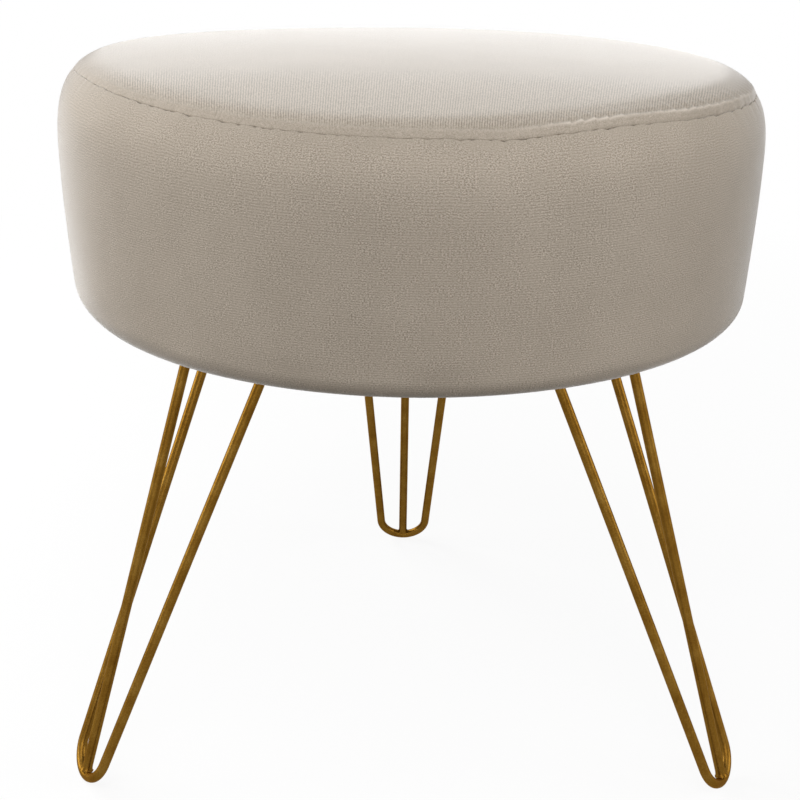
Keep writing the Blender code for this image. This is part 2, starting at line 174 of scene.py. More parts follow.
# How finely the cover is divided
COLUMNS = 1152
FACE_ROWS = (6, 12, 20, 26)  # on the hem, its corner, the side and the rounded edge
GROOVE_BEND = 0.4  # share of the lip that is left where the band turns down into the groove
GROOVE_ROWS = (0.18, 0.36, 0.54, 0.72, 0.86, 1.0)  # shares of the way down into the groove
EDGE_CROWDING = 1.4  # 1 is even, more crowds the rows towards the seam
CROWN_ROWS = 30
POLE_RADIUS = 0.004  # of the ring round a pole
EDGE_POINTS = 400
CROWN_POINTS = 200
SEAM_POINTS = 720
CLOTH_COLUMNS = 384
CLOTH_ROWS = (3, 4, 13, 9)  # where the same four are simulated
CLOTH_GRID = 56
CLOTH_EVERY = 4  # columns of the top panel for one that is read off its simulated cloth

# How far in from the seam, and how deep, the top panel's edge turns down into the groove
TURNED_EDGE = (
    (0.00012, -0.0022),
    (0.00008, -0.0015),
    (0.0001, -0.0009),
    (0.00025, -0.0004),
    (0.0005, -0.0001),
)

# How far in from the seam its rows lie on the ridge and behind it, closest at the crest
NEAR_SEAM = (
    *(0.0009, 0.0014, 0.002, 0.0026, 0.0032, 0.0037, 0.0041, 0.0044, 0.0047, 0.005, 0.0054),
    *(0.006, 0.0068, 0.0078, 0.009, 0.0105, 0.0122, 0.014, 0.016, 0.019, 0.023),
)

# Legs, in a leg's own frame with X outward
ROD = 0.006
ROD_RADIUS = ROD / 2
BEND_RADIUS = 0.0172
U_WIDTH = 0.0725
LEG_SPREAD = 0.114
BRACE_OFFSET = 0.0345
FOOT_FLAT = 0.0004
PLATE_REACH = 0.106
PLATE_EAR = 0.0125
FOOT_REACH = PLATE_REACH + LEG_SPREAD
FOOT_Z = ROD_RADIUS - FOOT_FLAT
PLATE_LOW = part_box("leg_plate_rear")[0].z
ROD_TOP = PLATE_LOW - GAP
LEG_TURNS = {"left": math.radians(210), "right": math.radians(330), "rear": math.radians(90)}
ROD_SIDES = 28
BEND_STEPS = 48
WELD_HEIGHT = 0.0035
WELD_FLARE = 0.35  # how much thicker a rod is at the plate, as a share
WELD_STEPS = (0.35, 0.7, 1)
BRACE_SEAT = 0.9 * ROD_RADIUS  # up from the bend's middle line
BRACE_FLARE = 0.28
LUMP_COUNT = 11  # of weld, round a rod's end
LUMP_SHAPE = (0.7, 1, 0.6)
LUMP_TURN = 0.5  # how far a lump may lie askew
LUMP_SPREAD = 0.18  # and how far its size may stray, as a share
PLATE_LUMP = 0.0015
PLATE_LUMP_OUT = ROD_RADIUS + 0.0009
PLATE_LUMP_Z = ROD_TOP - 0.0007
PLATE_LUMP_TILT = 0.5
FOOT_LUMP = 0.0010
FOOT_LUMP_LIFT = ROD_RADIUS * 0.95
FOOT_LUMP_RISE = 0.0006  # at the bend's two sides
PLATE_BEVEL = 0.0005
SCREW_PROFILE = (  # radius and height, from the middle of the head to the point
    (0, -0.0024),
    (0.0016, -0.0023),
    (0.0029, -0.0018),
    (0.0036, -0.0010),
    (0.0039, -0.0003),
    (0.0037, 0.0),
    (0.0019, 0.0),
    (0.0019, 0.0105),
    (0.0, 0.0138),
)
SCREW_SIDES = 28
RECESS_SIZE = (0.0042, 0.0008, 0.0030)
RECESS_END = (0.35, 0.7)  # how long and wide it is at its bottom, as shares

# Under the seat
DUST_RADIUS = HEM_RADIUS + 0.009
DUST_THICKNESS = 0.0006
DUST_LOW = UNDERSIDE_Z - GAP - DUST_THICKNESS
DUST_HIGH = BOARD_LOW.z - GAP - DUST_THICKNESS
DUST_STEP = HEM_RADIUS - 0.003
DUST_COLUMNS = 360
DUST_ROWS = (30, 14)  # inside its step, and over that to its edge
DUST_PULL = 0.00022
DUST_PULL_REACH = 0.012
DUST_FOLD = 0.0007
DUST_CLEAR = (0.062, 0.085)  # from a leg plate's middle: no folds before the first, all after the second
STAPLE_COUNT = 44
STAPLE_RADIUS = DUST_RADIUS - 0.0045
STAPLE_Z = DUST_LOW - 0.0005
STAPLE_TURN = 0.22  # how far a staple may lie askew
STAPLE_SPREAD = 0.02  # and how far its size may stray, as a share

# The camera's place, from the seat's axis
CAMERA_DISTANCE = 0.908
CAMERA_HEIGHT = 0.554
CAMERA_ROUND = math.radians(-0.62)  # about the seat's axis
CAMERA_PITCH = math.radians(21.2)
CAMERA_YAW = math.radians(0.32)
CAMERA_ROLL = math.radians(0.72)
CAMERA_LENS = 70.9

# The light and the floor
LAMPS = (  # name, place, width and power
    ("front, high", (-0.2, -1.0, 2.0), 1.2, 13.5),
    ("front", (0.0, -2.0, 0.9), 1.4, 19),
    ("left", (-1.9, 0.1, 0.7), 1.0, 19),
    ("left, behind", (-1.28, 1.18, 1.1), 1.0, 24),
    ("right", (1.9, -0.3, 0.8), 1.0, 14.5),
)
LAMP_AIM = Vector((0, AXIS.y, 0.35))
ROOM_LIGHT = 0.05  # of the world on the object; where it is seen, it is white
FLOOR_HALF = 8
FLOOR_Z = -0.0005
FLOOR_LIT = (0.05, 0.04, 0.03, 1)  # what it throws back on the object
FLOOR_SEEN = (0.95, 0.95, 0.95, 1)
FLOOR_SHADOW = (0.3, 1.3)  # from the middle, where its shadow starts to fade and where it has faded
FLOOR_GLOW = 0.9  # share of its look, near the middle, that no shadow reaches


# Small helpers

def add(piece):
    """Show a new object in the scene."""
    bpy.context.scene.collection.objects.link(piece)
    return piece


def dress(piece, material):
    """Give a piece its one material."""
    piece.data.materials.clear()
    piece.data.materials.append(material)
    return piece


def settle(piece, slot, *nodes):
    """Fix a finished piece to the body and hide the solids it stands for. The finish it takes (slot) is
    not used.
    """
    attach(piece, BODY)
    if nodes:
        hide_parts(*nodes)
    return piece


def ring_noise(turns, seed, slowest, fastest):
    """Smooth noise round the seat, about -1 to 1, that meets itself."""
    dice = np.random.default_rng(seed)
    waves = np.arange(slowest, fastest + 1)
    strengths = dice.normal(size=len(waves))
    phases = dice.uniform(0, 2 * math.pi, size=len(waves))
    total = sum(s * np.cos(w * turns + p) for s, w, p in zip(strengths, waves, phases))
    usual_peak = 1.6 * math.sqrt((strengths**2).sum())
    return total / usual_peak


def eased(value, start, end):
    """0 before start, 1 after end, smooth between."""
    share = np.clip((value - start) / (end - start), 0, 1)
    return share * share * (3 - 2 * share)


def bell(distance, reach):
    """1 at no distance, and about a third at this reach either way."""
    return np.exp(-((distance / reach) ** 2))


def turns_round(count, start=0.0):
    """As many even turns, once round the seat."""
    return np.arange(count) * 2 * math.pi / count + start


def lathe(name, rings, ends_close=False, poles=(False, False), cloth_map=None):
    """A mesh over rings of as many points each. The rings may close on themselves or end in poles."""
    count, columns, _ = rings.shape
    points = rings.reshape(-1, 3)
    corner = np.arange(count * columns).reshape(count, columns)
    after = np.roll(corner, -1, axis=1)
    sides = [corner, after, np.roll(after, -1, axis=0), np.roll(corner, -1, axis=0)]
    if not ends_close:
        sides = [side[:-1] for side in sides]
    quads = np.stack(sides, axis=-1).reshape(-1, 4)
    faces = quads.tolist()
    extra = []
    for first, wanted in zip((True, False), poles):
        if not wanted:
            continue
        ring = 0 if first else count - 1
        pole = count * columns + len(extra)
        extra.append(rings[ring].mean(axis=0))
        pairs = zip(corner[ring].tolist(), after[ring].tolist())
        faces += [(b, a, pole) if first else (a, b, pole) for a, b in pairs]
    if extra:
        points = np.concatenate([points, np.array(extra)])
    mesh = bpy.data.meshes.new(name)
    mesh.from_pydata(points.tolist(), [], faces)
    if cloth_map is not None:
        map_cloth(mesh, cloth_map, quads, columns, poles)
    mesh.shade_smooth()
    return add(bpy.data.objects.new(name, mesh))


def map_cloth(mesh, along, quads, columns, poles):
    """A UV map in metres: round the seat across, and along the outline up."""
    girth = 2 * math.pi * SEAT_RADIUS
    column = quads % columns
    across = column / columns * girth
    wraps = (column == 0) & (column.max(axis=1, keepdims=True) == columns - 1)
    across = np.where(wraps, girth, across)
    up = along[quads // columns]
    layer = mesh.uv_layers.new(name="cloth")
    ends = [along[row] for row, wanted in zip((0, -1), poles) if wanted]
    tips = np.stack([np.zeros(3 * columns * len(ends)), np.repeat(ends, 3 * columns)], axis=-1)
    values = np.concatenate([np.stack([across, up], axis=-1).reshape(-1, 2), tips])
    layer.data.foreach_set("uv", values.astype(np.float32).ravel())


def lean(points):
    """Let the cover sit unevenly, as the sewn one does, clear of the base board."""
    x, y = points[..., 0] - AXIS.x, points[..., 1] - AXIS.y
    radius, angle = np.hypot(x, y), np.arctan2(y, x)
    upper = eased(points[..., 2], WIDEST_Z, WIDEST_Z + WAVES_WHOLE)
    outer = eased(radius, DRUM_RADIUS, LOWER_RADIUS) * (1 - upper)
    raised = outer * LEAN_LOW * x
    for count, height, turn in COVER_WAVES:
        raised = raised + upper * height * (radius / SEAM_CIRCLE) ** count * np.cos(count * (angle - turn))
    points[..., 2] += raised
    return points


# The padded cover

def lengths_along(outline):
    """How far along an outline each of its points lies."""
    steps = np.linalg.norm(np.diff(outline, axis=0), axis=1)
    return np.concatenate([[0], np.cumsum(steps)])


def turned_out(along):
    """Outward directions, from directions along outlines of (radius, height) points."""
    along = along / np.linalg.norm(along, axis=-1, keepdims=True)
    return np.stack([along[..., 1], -along[..., 0]], axis=-1)


def facing(outline):
    """Outward directions at the points of outlines, one row after the other."""
    return turned_out(np.gradient(outline, axis=0))


def all_round(outline):
    """The same (radius, height) points at every turn of the cover."""
    return np.broadcast_to(np.array(outline)[:, None, :], (len(outline), COLUMNS, 2))


def upper_edge():
    """(radius, height) points over the rounded edge and the crown, from the widest line to the middle."""
    turn = np.linspace(0, math.pi / 2, EDGE_POINTS)
    start = SEAT_RADIUS - EDGE_WIDTH
    inner = np.linspace(start, 0, CROWN_POINTS)[1:]
    radius = np.concatenate([start + EDGE_WIDTH * np.cos(turn) ** (2 / EDGE_SQUARE), inner])
    rise = np.concatenate([np.sin(turn) ** (2 / EDGE_SQUARE), np.ones(len(inner))]) * EDGE_HEIGHT
    crown = CROWN * (1 - (radius / SEAT_RADIUS) ** CROWN_POWER)
    return np.stack([radius, WIDEST_Z + rise + crown], axis=-1)


EDGE = upper_edge()
EDGE_LENGTHS = lengths_along(EDGE)


def on_edge(length):
    """(radius, height) at lengths up the rounded edge from the widest line."""
    return np.stack([np.interp(length, EDGE_LENGTHS, EDGE[:, axis]) for axis in (0, 1)], axis=-1)


def off_edge(length):
    """Outward directions at lengths up the rounded edge."""
    step = 0.0006
    return turned_out(on_edge(length + step) - on_edge(length - step))


def edge_height(radius):
    """Height of the rounded edge and crown over a radius."""
    return np.interp(-radius, -EDGE[:, 0], EDGE[:, 1])


def turned_away(turns, middle):
    """How far each turn is from a middle, the shorter way round."""
    return np.abs((turns - middle + math.pi) % (2 * math.pi) - math.pi)


def seam_length(turns):
    """How far up the rounded edge the seam lies at each turn."""
    radius = SEAM_CIRCLE + SEAM_RIGHT * np.cos(turns) - SEAM_FRONT * ((1 - np.sin(turns)) / 2) ** 3
    radius = radius + SEAM_WANDER * ring_noise(turns, 24, 30, 130)
    for middle, reach, outward in SEAM_SAGS:
        radius = radius + outward * bell(turned_away(turns, middle), reach)
    return np.interp(-radius, -EDGE[:, 0], EDGE_LENGTHS)


def seam_floor(turns, side):
    """The bottom of the seam's groove, on the band's side (-1) or the top panel's (1)."""
    length = seam_length(turns)
    depth = SEAM_DEPTH * seam_open(turns)
    return on_edge(length + side * SEAM_GAP / 2) - depth[:, None] * off_edge(length)


def band_face(turns, fine):
    """Radius and height up the band's face at each turn, from the hem's edge to the seam's groove."""
    hem_steps, corner_steps, side_steps, edge_steps = FACE_ROWS if fine else CLOTH_ROWS
    start = LOWER_RADIUS - LOWER_CORNER
    points = [(r, UNDERSIDE_Z) for r in np.linspace(HEM_RADIUS, start, hem_steps)]
    for angle in np.linspace(0, math.pi / 2, corner_steps + 1)[1:]:
        height = UNDERSIDE_Z + LOWER_CORNER - LOWER_CORNER * math.cos(angle)
        points.append((start + LOWER_CORNER * math.sin(angle), height))
    corner_top = points[-1][1]
    for share in np.linspace(0, 1, side_steps + 1)[1:]:
        swelling = SIDE_SWELL * math.sin(share * math.pi / 2)
        points.append((LOWER_RADIUS + swelling, corner_top + share * (WIDEST_Z - corner_top)))
    rows = [np.broadcast_to(np.array(point), (len(turns), 2)) for point in points]
    seam = seam_length(turns)
    lip = SEAM_LIP * (seam_open(turns) if fine else SEAM_SHUT)
    for share in np.linspace(0, 1, edge_steps + 1)[1:]:
        rows.append(on_edge((1 - (1 - share) ** EDGE_CROWDING) * (seam - lip)))
    if fine:
        first, last = rows[-1], seam_floor(turns, -1)
        bend = on_edge(seam - GROOVE_BEND * lip)
        into = last + lip[:, None] * off_edge(seam)
        for t in GROOVE_ROWS:
            s = 1 - t
            rows.append(s**3 * first + 3 * s * s * t * bend + 3 * s * t * t * into + t**3 * last)
    return np.stack(rows)


def spun(outline, turns):
    """Points of outlines, one for each turn about the seat's axis."""
    radius, height = outline[..., 0], outline[..., 1]
    return np.stack([AXIS.x + radius * np.cos(turns), AXIS.y + radius * np.sin(turns), height], axis=-1)


def blown_out(name, piece, held, spare):
    """Let a held cloth with some spare length swell under pressure. Gives its points before and after."""
    group = piece.vertex_groups.new(name="sewn")
    group.add([int(index) for index in held], 1.0, "ADD")
    cloth = piece.modifiers.new(name, "CLOTH")
    cloth.settings.vertex_group_mass = "sewn"
    cloth.settings.use_pressure = True
    cloth.settings.uniform_pressure_force = SWELL_PRESSURE
    cloth.settings.effector_weights.gravity = 0
    cloth.settings.shrink_min = -spare
    cloth.point_cache.frame_start = 1
    cloth.point_cache.frame_end = SWELL_FRAMES
    before = np.empty(len(piece.data.vertices) * 3)
    piece.data.vertices.foreach_get("co", before)
    scene = bpy.context.scene
    for number in range(1, SWELL_FRAMES + 1):
        scene.frame_set(number)
    evaluated = piece.evaluated_get(bpy.context.evaluated_depsgraph_get())
    after = np.empty(len(evaluated.data.vertices) * 3)
    evaluated.data.vertices.foreach_get("co", after)
    scene.frame_set(1)
    bpy.data.objects.remove(piece)
    return before.reshape(-1, 3), after.reshape(-1, 3)


def finer(field, along, fine_along, columns):
    """Spread a field of rows up the outline and columns round the seat over a finer grid."""
    rows = np.stack([np.interp(fine_along, along, column) for column in field.T], axis=1)
    waves = np.fft.rfft(rows, axis=1)
    padded = np.zeros((len(fine_along), columns // 2 + 1), complex)
    padded[:, :KEPT_WAVES] = waves[:, :KEPT_WAVES]
    return np.fft.irfft(padded, columns, axis=1) * columns / field.shape[1]


def swelling_share(along):
    """How much of the swelling each row of the band takes: none at its ends, all of it half way up."""
    return np.clip(np.sin(math.pi * along / along[-1]), 0, 1)[:, None] ** 0.5


def band_swelling(along, turns):
    """How far each point of the band's face stands off its plain outline once its padding has swelled."""
    coarse_turns = turns_round(CLOTH_COLUMNS, turns[0])
    coarse = band_face(coarse_turns, False)
    coarse_along = lengths_along(coarse.mean(axis=1))
    inset = swelling_share(coarse_along)
    depth = SWELL * inset - UNEVEN * inset * foam_unevenness(coarse_along, coarse_turns)
    away = facing(coarse)
    cloth = lathe("band_cloth", spun(coarse - depth[..., None] * away, coarse_turns))
    rows = len(coarse)
    last = (rows - 1) * CLOTH_COLUMNS
    held = np.concatenate([np.arange(2 * CLOTH_COLUMNS), np.arange(last, last + CLOTH_COLUMNS)])
    before, after = blown_out("band_swelling", cloth, held, SWELL_SPARE)
    moved = (after - before).reshape(rows, CLOTH_COLUMNS, 3)
    outward = np.stack([np.cos(coarse_turns), np.sin(coarse_turns)], axis=-1)
    stood = (moved[..., :2] * outward).sum(axis=-1) * away[..., 0] + moved[..., 2] * away[..., 1]
    stood = stood * SWELL * inset.mean() / stood.mean()
    stands = np.clip(stood - depth, -SWELL_CAP, SWELL_CAP)
    return finer(stands, coarse_along, along, len(turns))


def foam_unevenness(along, turns):
    """Broad, shallow hills and hollows of hand-wrapped foam, about -1 to 1."""
    low = ring_noise(turns, 11, 2, 7)
    middle = ring_noise(turns, 12, 3, 11)
    high = ring_noise(turns, 13, 2, 9)
    share = (along / along[-1])[:, None]
    return low * (1 - share) + middle * np.sin(math.pi * share) + high * share


def pucker_climb(turns):
    """The puckers that the stitches pull: each climbs along the seam from -0.5 to 0.5 and drops."""
    wander = PUCKER_WANDER * ring_noise(turns, 21, 6, 40)
    return (PUCKER_COUNT * turns + wander) / (2 * math.pi) % 1 - 0.5


def pucker_strength(turns):
    """Some lengths of the seam pucker more than others."""
    return np.clip(PUCKER_MEAN + PUCKER_SPREAD * ring_noise(turns, 22, 3, 30), PUCKER_LEAST, PUCKER_MOST)


def ridge_share(turns):
    """How much of the folded seam stands up: all of it from the front to the right, little at the back."""
    stops = np.array(RIDGE_STOPS)
    return np.interp(turns, stops[:, 0], stops[:, 1], period=2 * math.pi)


def seam_open(turns):
    """How far the seam's groove is open: wide at its stitches and nearly shut between them."""
    tight = SEAM_TIGHT * bell(turned_away(turns, SEAM_TIGHT_AT), SEAM_TIGHT_REACH)
    return (SEAM_SHUT + (1 - SEAM_SHUT) * stitch_pulls(turns)) * (1 - tight)


def stitch_pulls(turns):
    """Where single stitches draw the cloth in, from 0 to about 1, at uneven spaces along the seam."""
    dice = np.random.default_rng(23)
    spots = np.cumsum(dice.uniform(*STITCH_SPACES, STITCH_COUNT))
    spots = spots / spots[-1] * 2 * math.pi
    depths = dice.uniform(*STITCH_DEPTHS, STITCH_COUNT)
    widths = STITCH_WIDTH * dice.uniform(*STITCH_WIDTHS, STITCH_COUNT)
    pulls = np.zeros(len(turns))
    for spot, depth, width in zip(spots, depths, widths):
        off = turned_away(turns, spot) * SEAM_CIRCLE
        pulls = np.maximum(pulls, depth * bell(off, width))
    return pulls


def hem_pleats(turns):
    """The small pleats that the hem is gathered into, unevenly spaced and unevenly high."""
    wander = PLEAT_WANDER * ring_noise(turns, 31, 5, 30)
    pleats = np.abs(np.sin(PLEAT_COUNT / 2 * turns + wander)) ** PLEAT_SHARPNESS
    return pleats * (PLEAT_MEAN + PLEAT_SPREAD * ring_noise(turns, 32, 4, 50))


def band_relief(along, turns):
    """How far the band stands off its plain outline, with its padding, puckers, join and pleats."""
    from_seam = (along[-1] - along)[:, None]
    taut = 1 - SEAM_TAUT * np.exp(-from_seam / SEAM_TAUT_REACH)
    taut = taut * (HEM_LOOSE + (1 - HEM_LOOSE) * eased(along, *HEM_SPAN)[:, None])
    stands = band_swelling(along, turns) * taut
    puckers = BAND_PUCKER * pucker_strength(turns) * pucker_climb(turns)
    stands = stands - puckers * np.exp(-from_seam / BAND_PUCKER_REACH)
    stands = stands - STITCH_PULL * stitch_pulls(turns) * np.exp(-from_seam / (3 * SEAM_LIP))
    from_join = np.minimum(turns - JOIN_AT, JOIN_AT + 2 * math.pi - turns) * SEAT_RADIUS
    upright = eased(along, *JOIN_SPAN)[:, None]
    stands = stands - JOIN_DEPTH * bell(from_join, JOIN_WIDTH) * upright
    stands = stands + FLAP_HEIGHT * bell(from_join - FLAP_OFF, FLAP_WIDTH) * upright
    return stands + PLEAT_HEIGHT * hem_pleats(turns) * bell(along - PLEAT_AT, PLEAT_REACH)[:, None]


def side_band(material):
    """The padded side band of the cover, with its foam and the hem under the seat."""
    turns = turns_round(COLUMNS, JOIN_AT)
    face = band_face(turns, True)
    along = lengths_along(face.mean(axis=1))
    face = face + band_relief(along, turns)[..., None] * facing(face)
    wall = DRUM_RADIUS + GAP
    edge = PAD_RADIUS + GAP / 2
    inside = [(edge, PAD_Z + BACK_RISE), (edge, PAD_Z), (wall, PAD_Z)]
    inside += [(wall, height) for height in WALL_RINGS]
    inside += [(wall, UNDERSIDE_Z + COVER), (HEM_RADIUS, UNDERSIDE_Z + COVER)]
    whole = np.concatenate([face, all_round(inside)])
    cloth_map = lengths_along(whole.mean(axis=1))
    cloth_map = cloth_map - cloth_map[len(face) - 1]
    band = lathe("side_band", lean(spun(whole, turns)), ends_close=True, cloth_map=cloth_map)
    dress(band, material)
    settle(band, "cover_fabric", "cover_band", "side_foam")


def disc_grid(cells):
    """A square grid drawn out to a disc of radius 1, with its faces and its rim's points."""
    line = np.linspace(-1, 1, cells + 1)
    a, b = np.meshgrid(line, line, indexing="ij")
    wide = np.abs(a) >= np.abs(b)
    reach = np.where(wide, a, b)
    safe = np.where(reach == 0, 1, reach)
    angle = np.where(wide, math.pi / 4 * b / safe, math.pi / 2 - math.pi / 4 * a / safe)
    x, y = reach * np.cos(angle), reach * np.sin(angle)
    number = np.arange((cells + 1) ** 2).reshape(cells + 1, cells + 1)
    faces = np.stack([number[:-1, :-1], number[1:, :-1], number[1:, 1:], number[:-1, 1:]], axis=-1)
    rim = np.unique(np.concatenate([number[0], number[-1], number[:, 0], number[:, -1]]))
    return x.ravel(), y.ravel(), faces.reshape(-1, 4).tolist(), rim


def top_swelling(radius, turns):
    """How far the top panel stands off its plain crown once its foam has swelled."""
    rim_radius = SEAM_CIRCLE - RIDGE_CREST - RIDGE_FALL
    x, y, faces, rim = disc_grid(CLOTH_GRID)
    x, y = x * rim_radius, y * rim_radius
    share = np.hypot(x, y) / rim_radius
    hills = ring_noise(np.arctan2(y, x), 41, 2, 6) * share**2 * (1 - share**2)
    depth = SWELL * (1 - share**2) - 2 * UNEVEN * hills
    mesh = bpy.data.meshes.new("top_cloth")
    height = edge_height(share * rim_radius) - depth
    mesh.from_pydata(np.stack([x + AXIS.x, y + AXIS.y, height], axis=1).tolist(), [], faces)
    before, after = blown_out("top_swelling", add(bpy.data.objects.new("top_cloth", mesh)), rim, 0.0)
    stood = (after - before)[:, 2]
    stood = stood * (SWELL * (1 - share**2)).mean() / stood.mean()
    settled = np.clip(stood - depth, -SWELL_CAP, SWELL_CAP)
    swelled = BVHTree.FromPolygons(np.stack([x, y, settled + 1], axis=1).tolist(), faces)
    stands = np.zeros(radius.shape)
    nearly_all = 0.998 * rim_radius
    for row, column in np.argwhere(radius[:, ::CLOTH_EVERY] < nearly_all) * (1, CLOTH_EVERY):
        reach, turn = radius[row, column], turns[column]
        hit = swelled.ray_cast((reach * math.cos(turn), reach * math.sin(turn), 2), (0, 0, -1))[0]
        stands[row, column] = hit.z - 1
    rows = np.arange(len(radius))
    return finer(stands[:, ::CLOTH_EVERY], rows, rows, len(turns))


def ridge_crest(turns):
    """How far in from the seam the ridge's crest lies."""
    return RIDGE_CREST + PUCKER_SHIFT * pucker_strength(turns) * pucker_climb(turns)


def ridge_rise(turns, inward):
    """How far the folded seam lifts the top panel at a distance in from the seam."""
    crest = ridge_crest(turns)
    rising = np.clip(inward / crest, 0, 1)
    falling = 1 - RIDGE_DROP * eased(inward, crest, crest + RIDGE_DROP_REACH)
    falling = falling * (1 - eased(inward, crest, crest + RIDGE_FALL))
    climb = 1 + PUCKER_DEPTH * pucker_strength(turns) * pucker_climb(turns)
    return RIDGE_HEIGHT * ridge_share(turns) * rising * falling * climb


def painted_crest_highlight(turns, inward):
    """How strongly a highlight is painted along the ridge's crest, where its fold catches the light, from
    0 to about 1.
    """
    near = bell(inward - ridge_crest(turns), CREST_HIGHLIGHT_REACH)
    uneven = CREST_HIGHLIGHT_LEAST + (1 - CREST_HIGHLIGHT_LEAST) * pucker_strength(turns)
    return near * ridge_share(turns) ** 2 * uneven * (CREST_HIGHLIGHT_MEAN + CREST_HIGHLIGHT_CLIMB * pucker_climb(turns))


def top_panel(material):
    """The padded top of the seat: crowned cloth over foam, with the fold of the seam round it."""
    turns = turns_round(COLUMNS)
    seam = seam_length(turns)
    pulled = STITCH_PULL * stitch_pulls(turns)
    opened = seam_open(turns)
    rows = [seam_floor(turns, 1)]
    for inward, depth in TURNED_EDGE:
        rows.append(on_edge(seam + inward) + (depth * opened - pulled)[:, None] * off_edge(seam + inward))
    for inward in NEAR_SEAM:
        rise = ridge_rise(turns, inward) - pulled * math.exp(-inward / (2 * SEAM_LIP))
        rows.append(on_edge(seam + inward) + rise[:, None] * off_edge(seam + inward))
    rest = EDGE_LENGTHS[-1] - seam
    for share in np.linspace(0, 1, CROWN_ROWS)[1:-1]:
        rows.append(on_edge(seam + NEAR_SEAM[-1] + share * (rest - NEAR_SEAM[-1])))
    face = np.stack(rows)
    face[..., 1] += top_swelling(face[..., 0], turns)
    edge = PAD_RADIUS - GAP / 2
    inside = [(POLE_RADIUS, PAD_Z), (edge * 0.5, PAD_Z), (edge, PAD_Z), (edge, PAD_Z + BACK_RISE)]
    whole = np.concatenate([all_round(inside), face])
    cloth_map = lengths_along(whole.mean(axis=1))
    cloth_map = cloth_map - cloth_map[len(inside)]
    top = lathe("top_panel", lean(spun(whole, turns)), poles=(True, True), cloth_map=cloth_map)
    # Painted highlight along the crest, kept on the panel's points for its material
    crest_highlight = np.zeros(len(top.data.vertices))
    first = (len(inside) + 1 + len(TURNED_EDGE)) * COLUMNS
    near = np.concatenate([painted_crest_highlight(turns, inward) for inward in NEAR_SEAM])
    crest_highlight[first : first + len(near)] = near
    top.data.attributes.new("crest_highlight", "FLOAT", "POINT").data.foreach_set("value", crest_highlight)
    dress(top, material)
    settle(top, "cover_fabric", "cover_top", "top_foam")


# Trees of geometry nodes, and what they grow

def new_tree(name, sizes):
    """An empty tree with inputs by (name, socket type). Gives the tree, its inputs and its output node."""
    tree = bpy.data.node_groups.new(name, "GeometryNodeTree")
    tree.interface.new_socket("Geometry", in_out="INPUT", socket_type="NodeSocketGeometry")
    for label, kind in sizes:
        tree.interface.new_socket(label, in_out="INPUT", socket_type="NodeSocket" + kind)
    tree.interface.new_socket("Geometry", in_out="OUTPUT", socket_type="NodeSocketGeometry")
    given = tree.nodes.new("NodeGroupInput").outputs
    return tree, given, tree.nodes.new("NodeGroupOutput")


def node_in(tree, kind, values=(), **settings):
    """Add a node, set it, and link or set its inputs from (input, value or output socket) pairs."""
    made = tree.nodes.new(kind)
    for name, value in settings.items():
        setattr(made, name, value)
    for name, value in dict(values).items():
        if isinstance(value, bpy.types.NodeSocket):
            tree.links.new(value, made.inputs[name])
        else:
            made.inputs[name].default_value = value
    return made


def maths(tree, operation, *values):
    """What a Math node makes of these numbers or sockets."""
    return node_in(tree, "ShaderNodeMath", dict(enumerate(values)), operation=operation).outputs[0]


def by_chance(tree, least, most, seed):
    """A random number for each point, from sockets for its least, its most and its seed."""
    rolled = node_in(tree, "FunctionNodeRandomValue", data_type="FLOAT")
    for label, value in (("Min", least), ("Max", most), ("Seed", seed)):
        socket = next(s for s in rolled.inputs if s.name == label and s.enabled)
        tree.links.new(value, socket)
    return next(s for s in rolled.outputs if s.enabled)


def set_on_points(tree, points, shape, way, twist, size):
    """A shape on each point, turned its way, twisted about its own Z axis and sized."""
    spin = node_in(tree, "ShaderNodeCombineXYZ", {"Z": twist}).outputs[0]
    values = {"Rotation": way, "Rotate By": spin}
    turned = node_in(tree, "FunctionNodeRotateRotation", values, rotation_space="LOCAL").outputs[0]
    values = {"Points": points, "Instance": shape, "Rotation": turned, "Scale": size}
    return node_in(tree, "GeometryNodeInstanceOnPoints", values).outputs["Instances"]


def close_tree(tree, given, shape, out):
    """End a tree: realize what it placed, smooth it and give it its material."""
    real = node_in(tree, "GeometryNodeRealizeInstances", {"Geometry": shape})
    smooth = node_in(tree, "GeometryNodeSetShadeSmooth", {"Geometry": real.outputs["Geometry"]})
    values = {"Geometry": smooth.outputs["Geometry"], "Material": given["Material"]}
    finished = node_in(tree, "GeometryNodeSetMaterial", values)
    tree.links.new(finished.outputs["Geometry"], out.inputs["Geometry"])
    return tree


def rod_tree():
    """A round rod along a curve, as thick as the curve's own radius says."""
    sizes = [("Rod radius", "Float"), ("Sides", "Int"), ("Material", "Material")]
    tree, given, out = new_tree("rod along a path", sizes)
    values = {"Radius": given["Rod radius"], "Resolution": given["Sides"]}
    ring = node_in(tree, "GeometryNodeCurvePrimitiveCircle", values).outputs["Curve"]
    width = node_in(tree, "GeometryNodeInputRadius").outputs["Radius"]
    values = {"Curve": given["Geometry"], "Profile Curve": ring, "Fill Caps": True, "Scale": width}
    swept = node_in(tree, "GeometryNodeCurveToMesh", values).outputs["Mesh"]
    return close_tree(tree, given, swept, out)


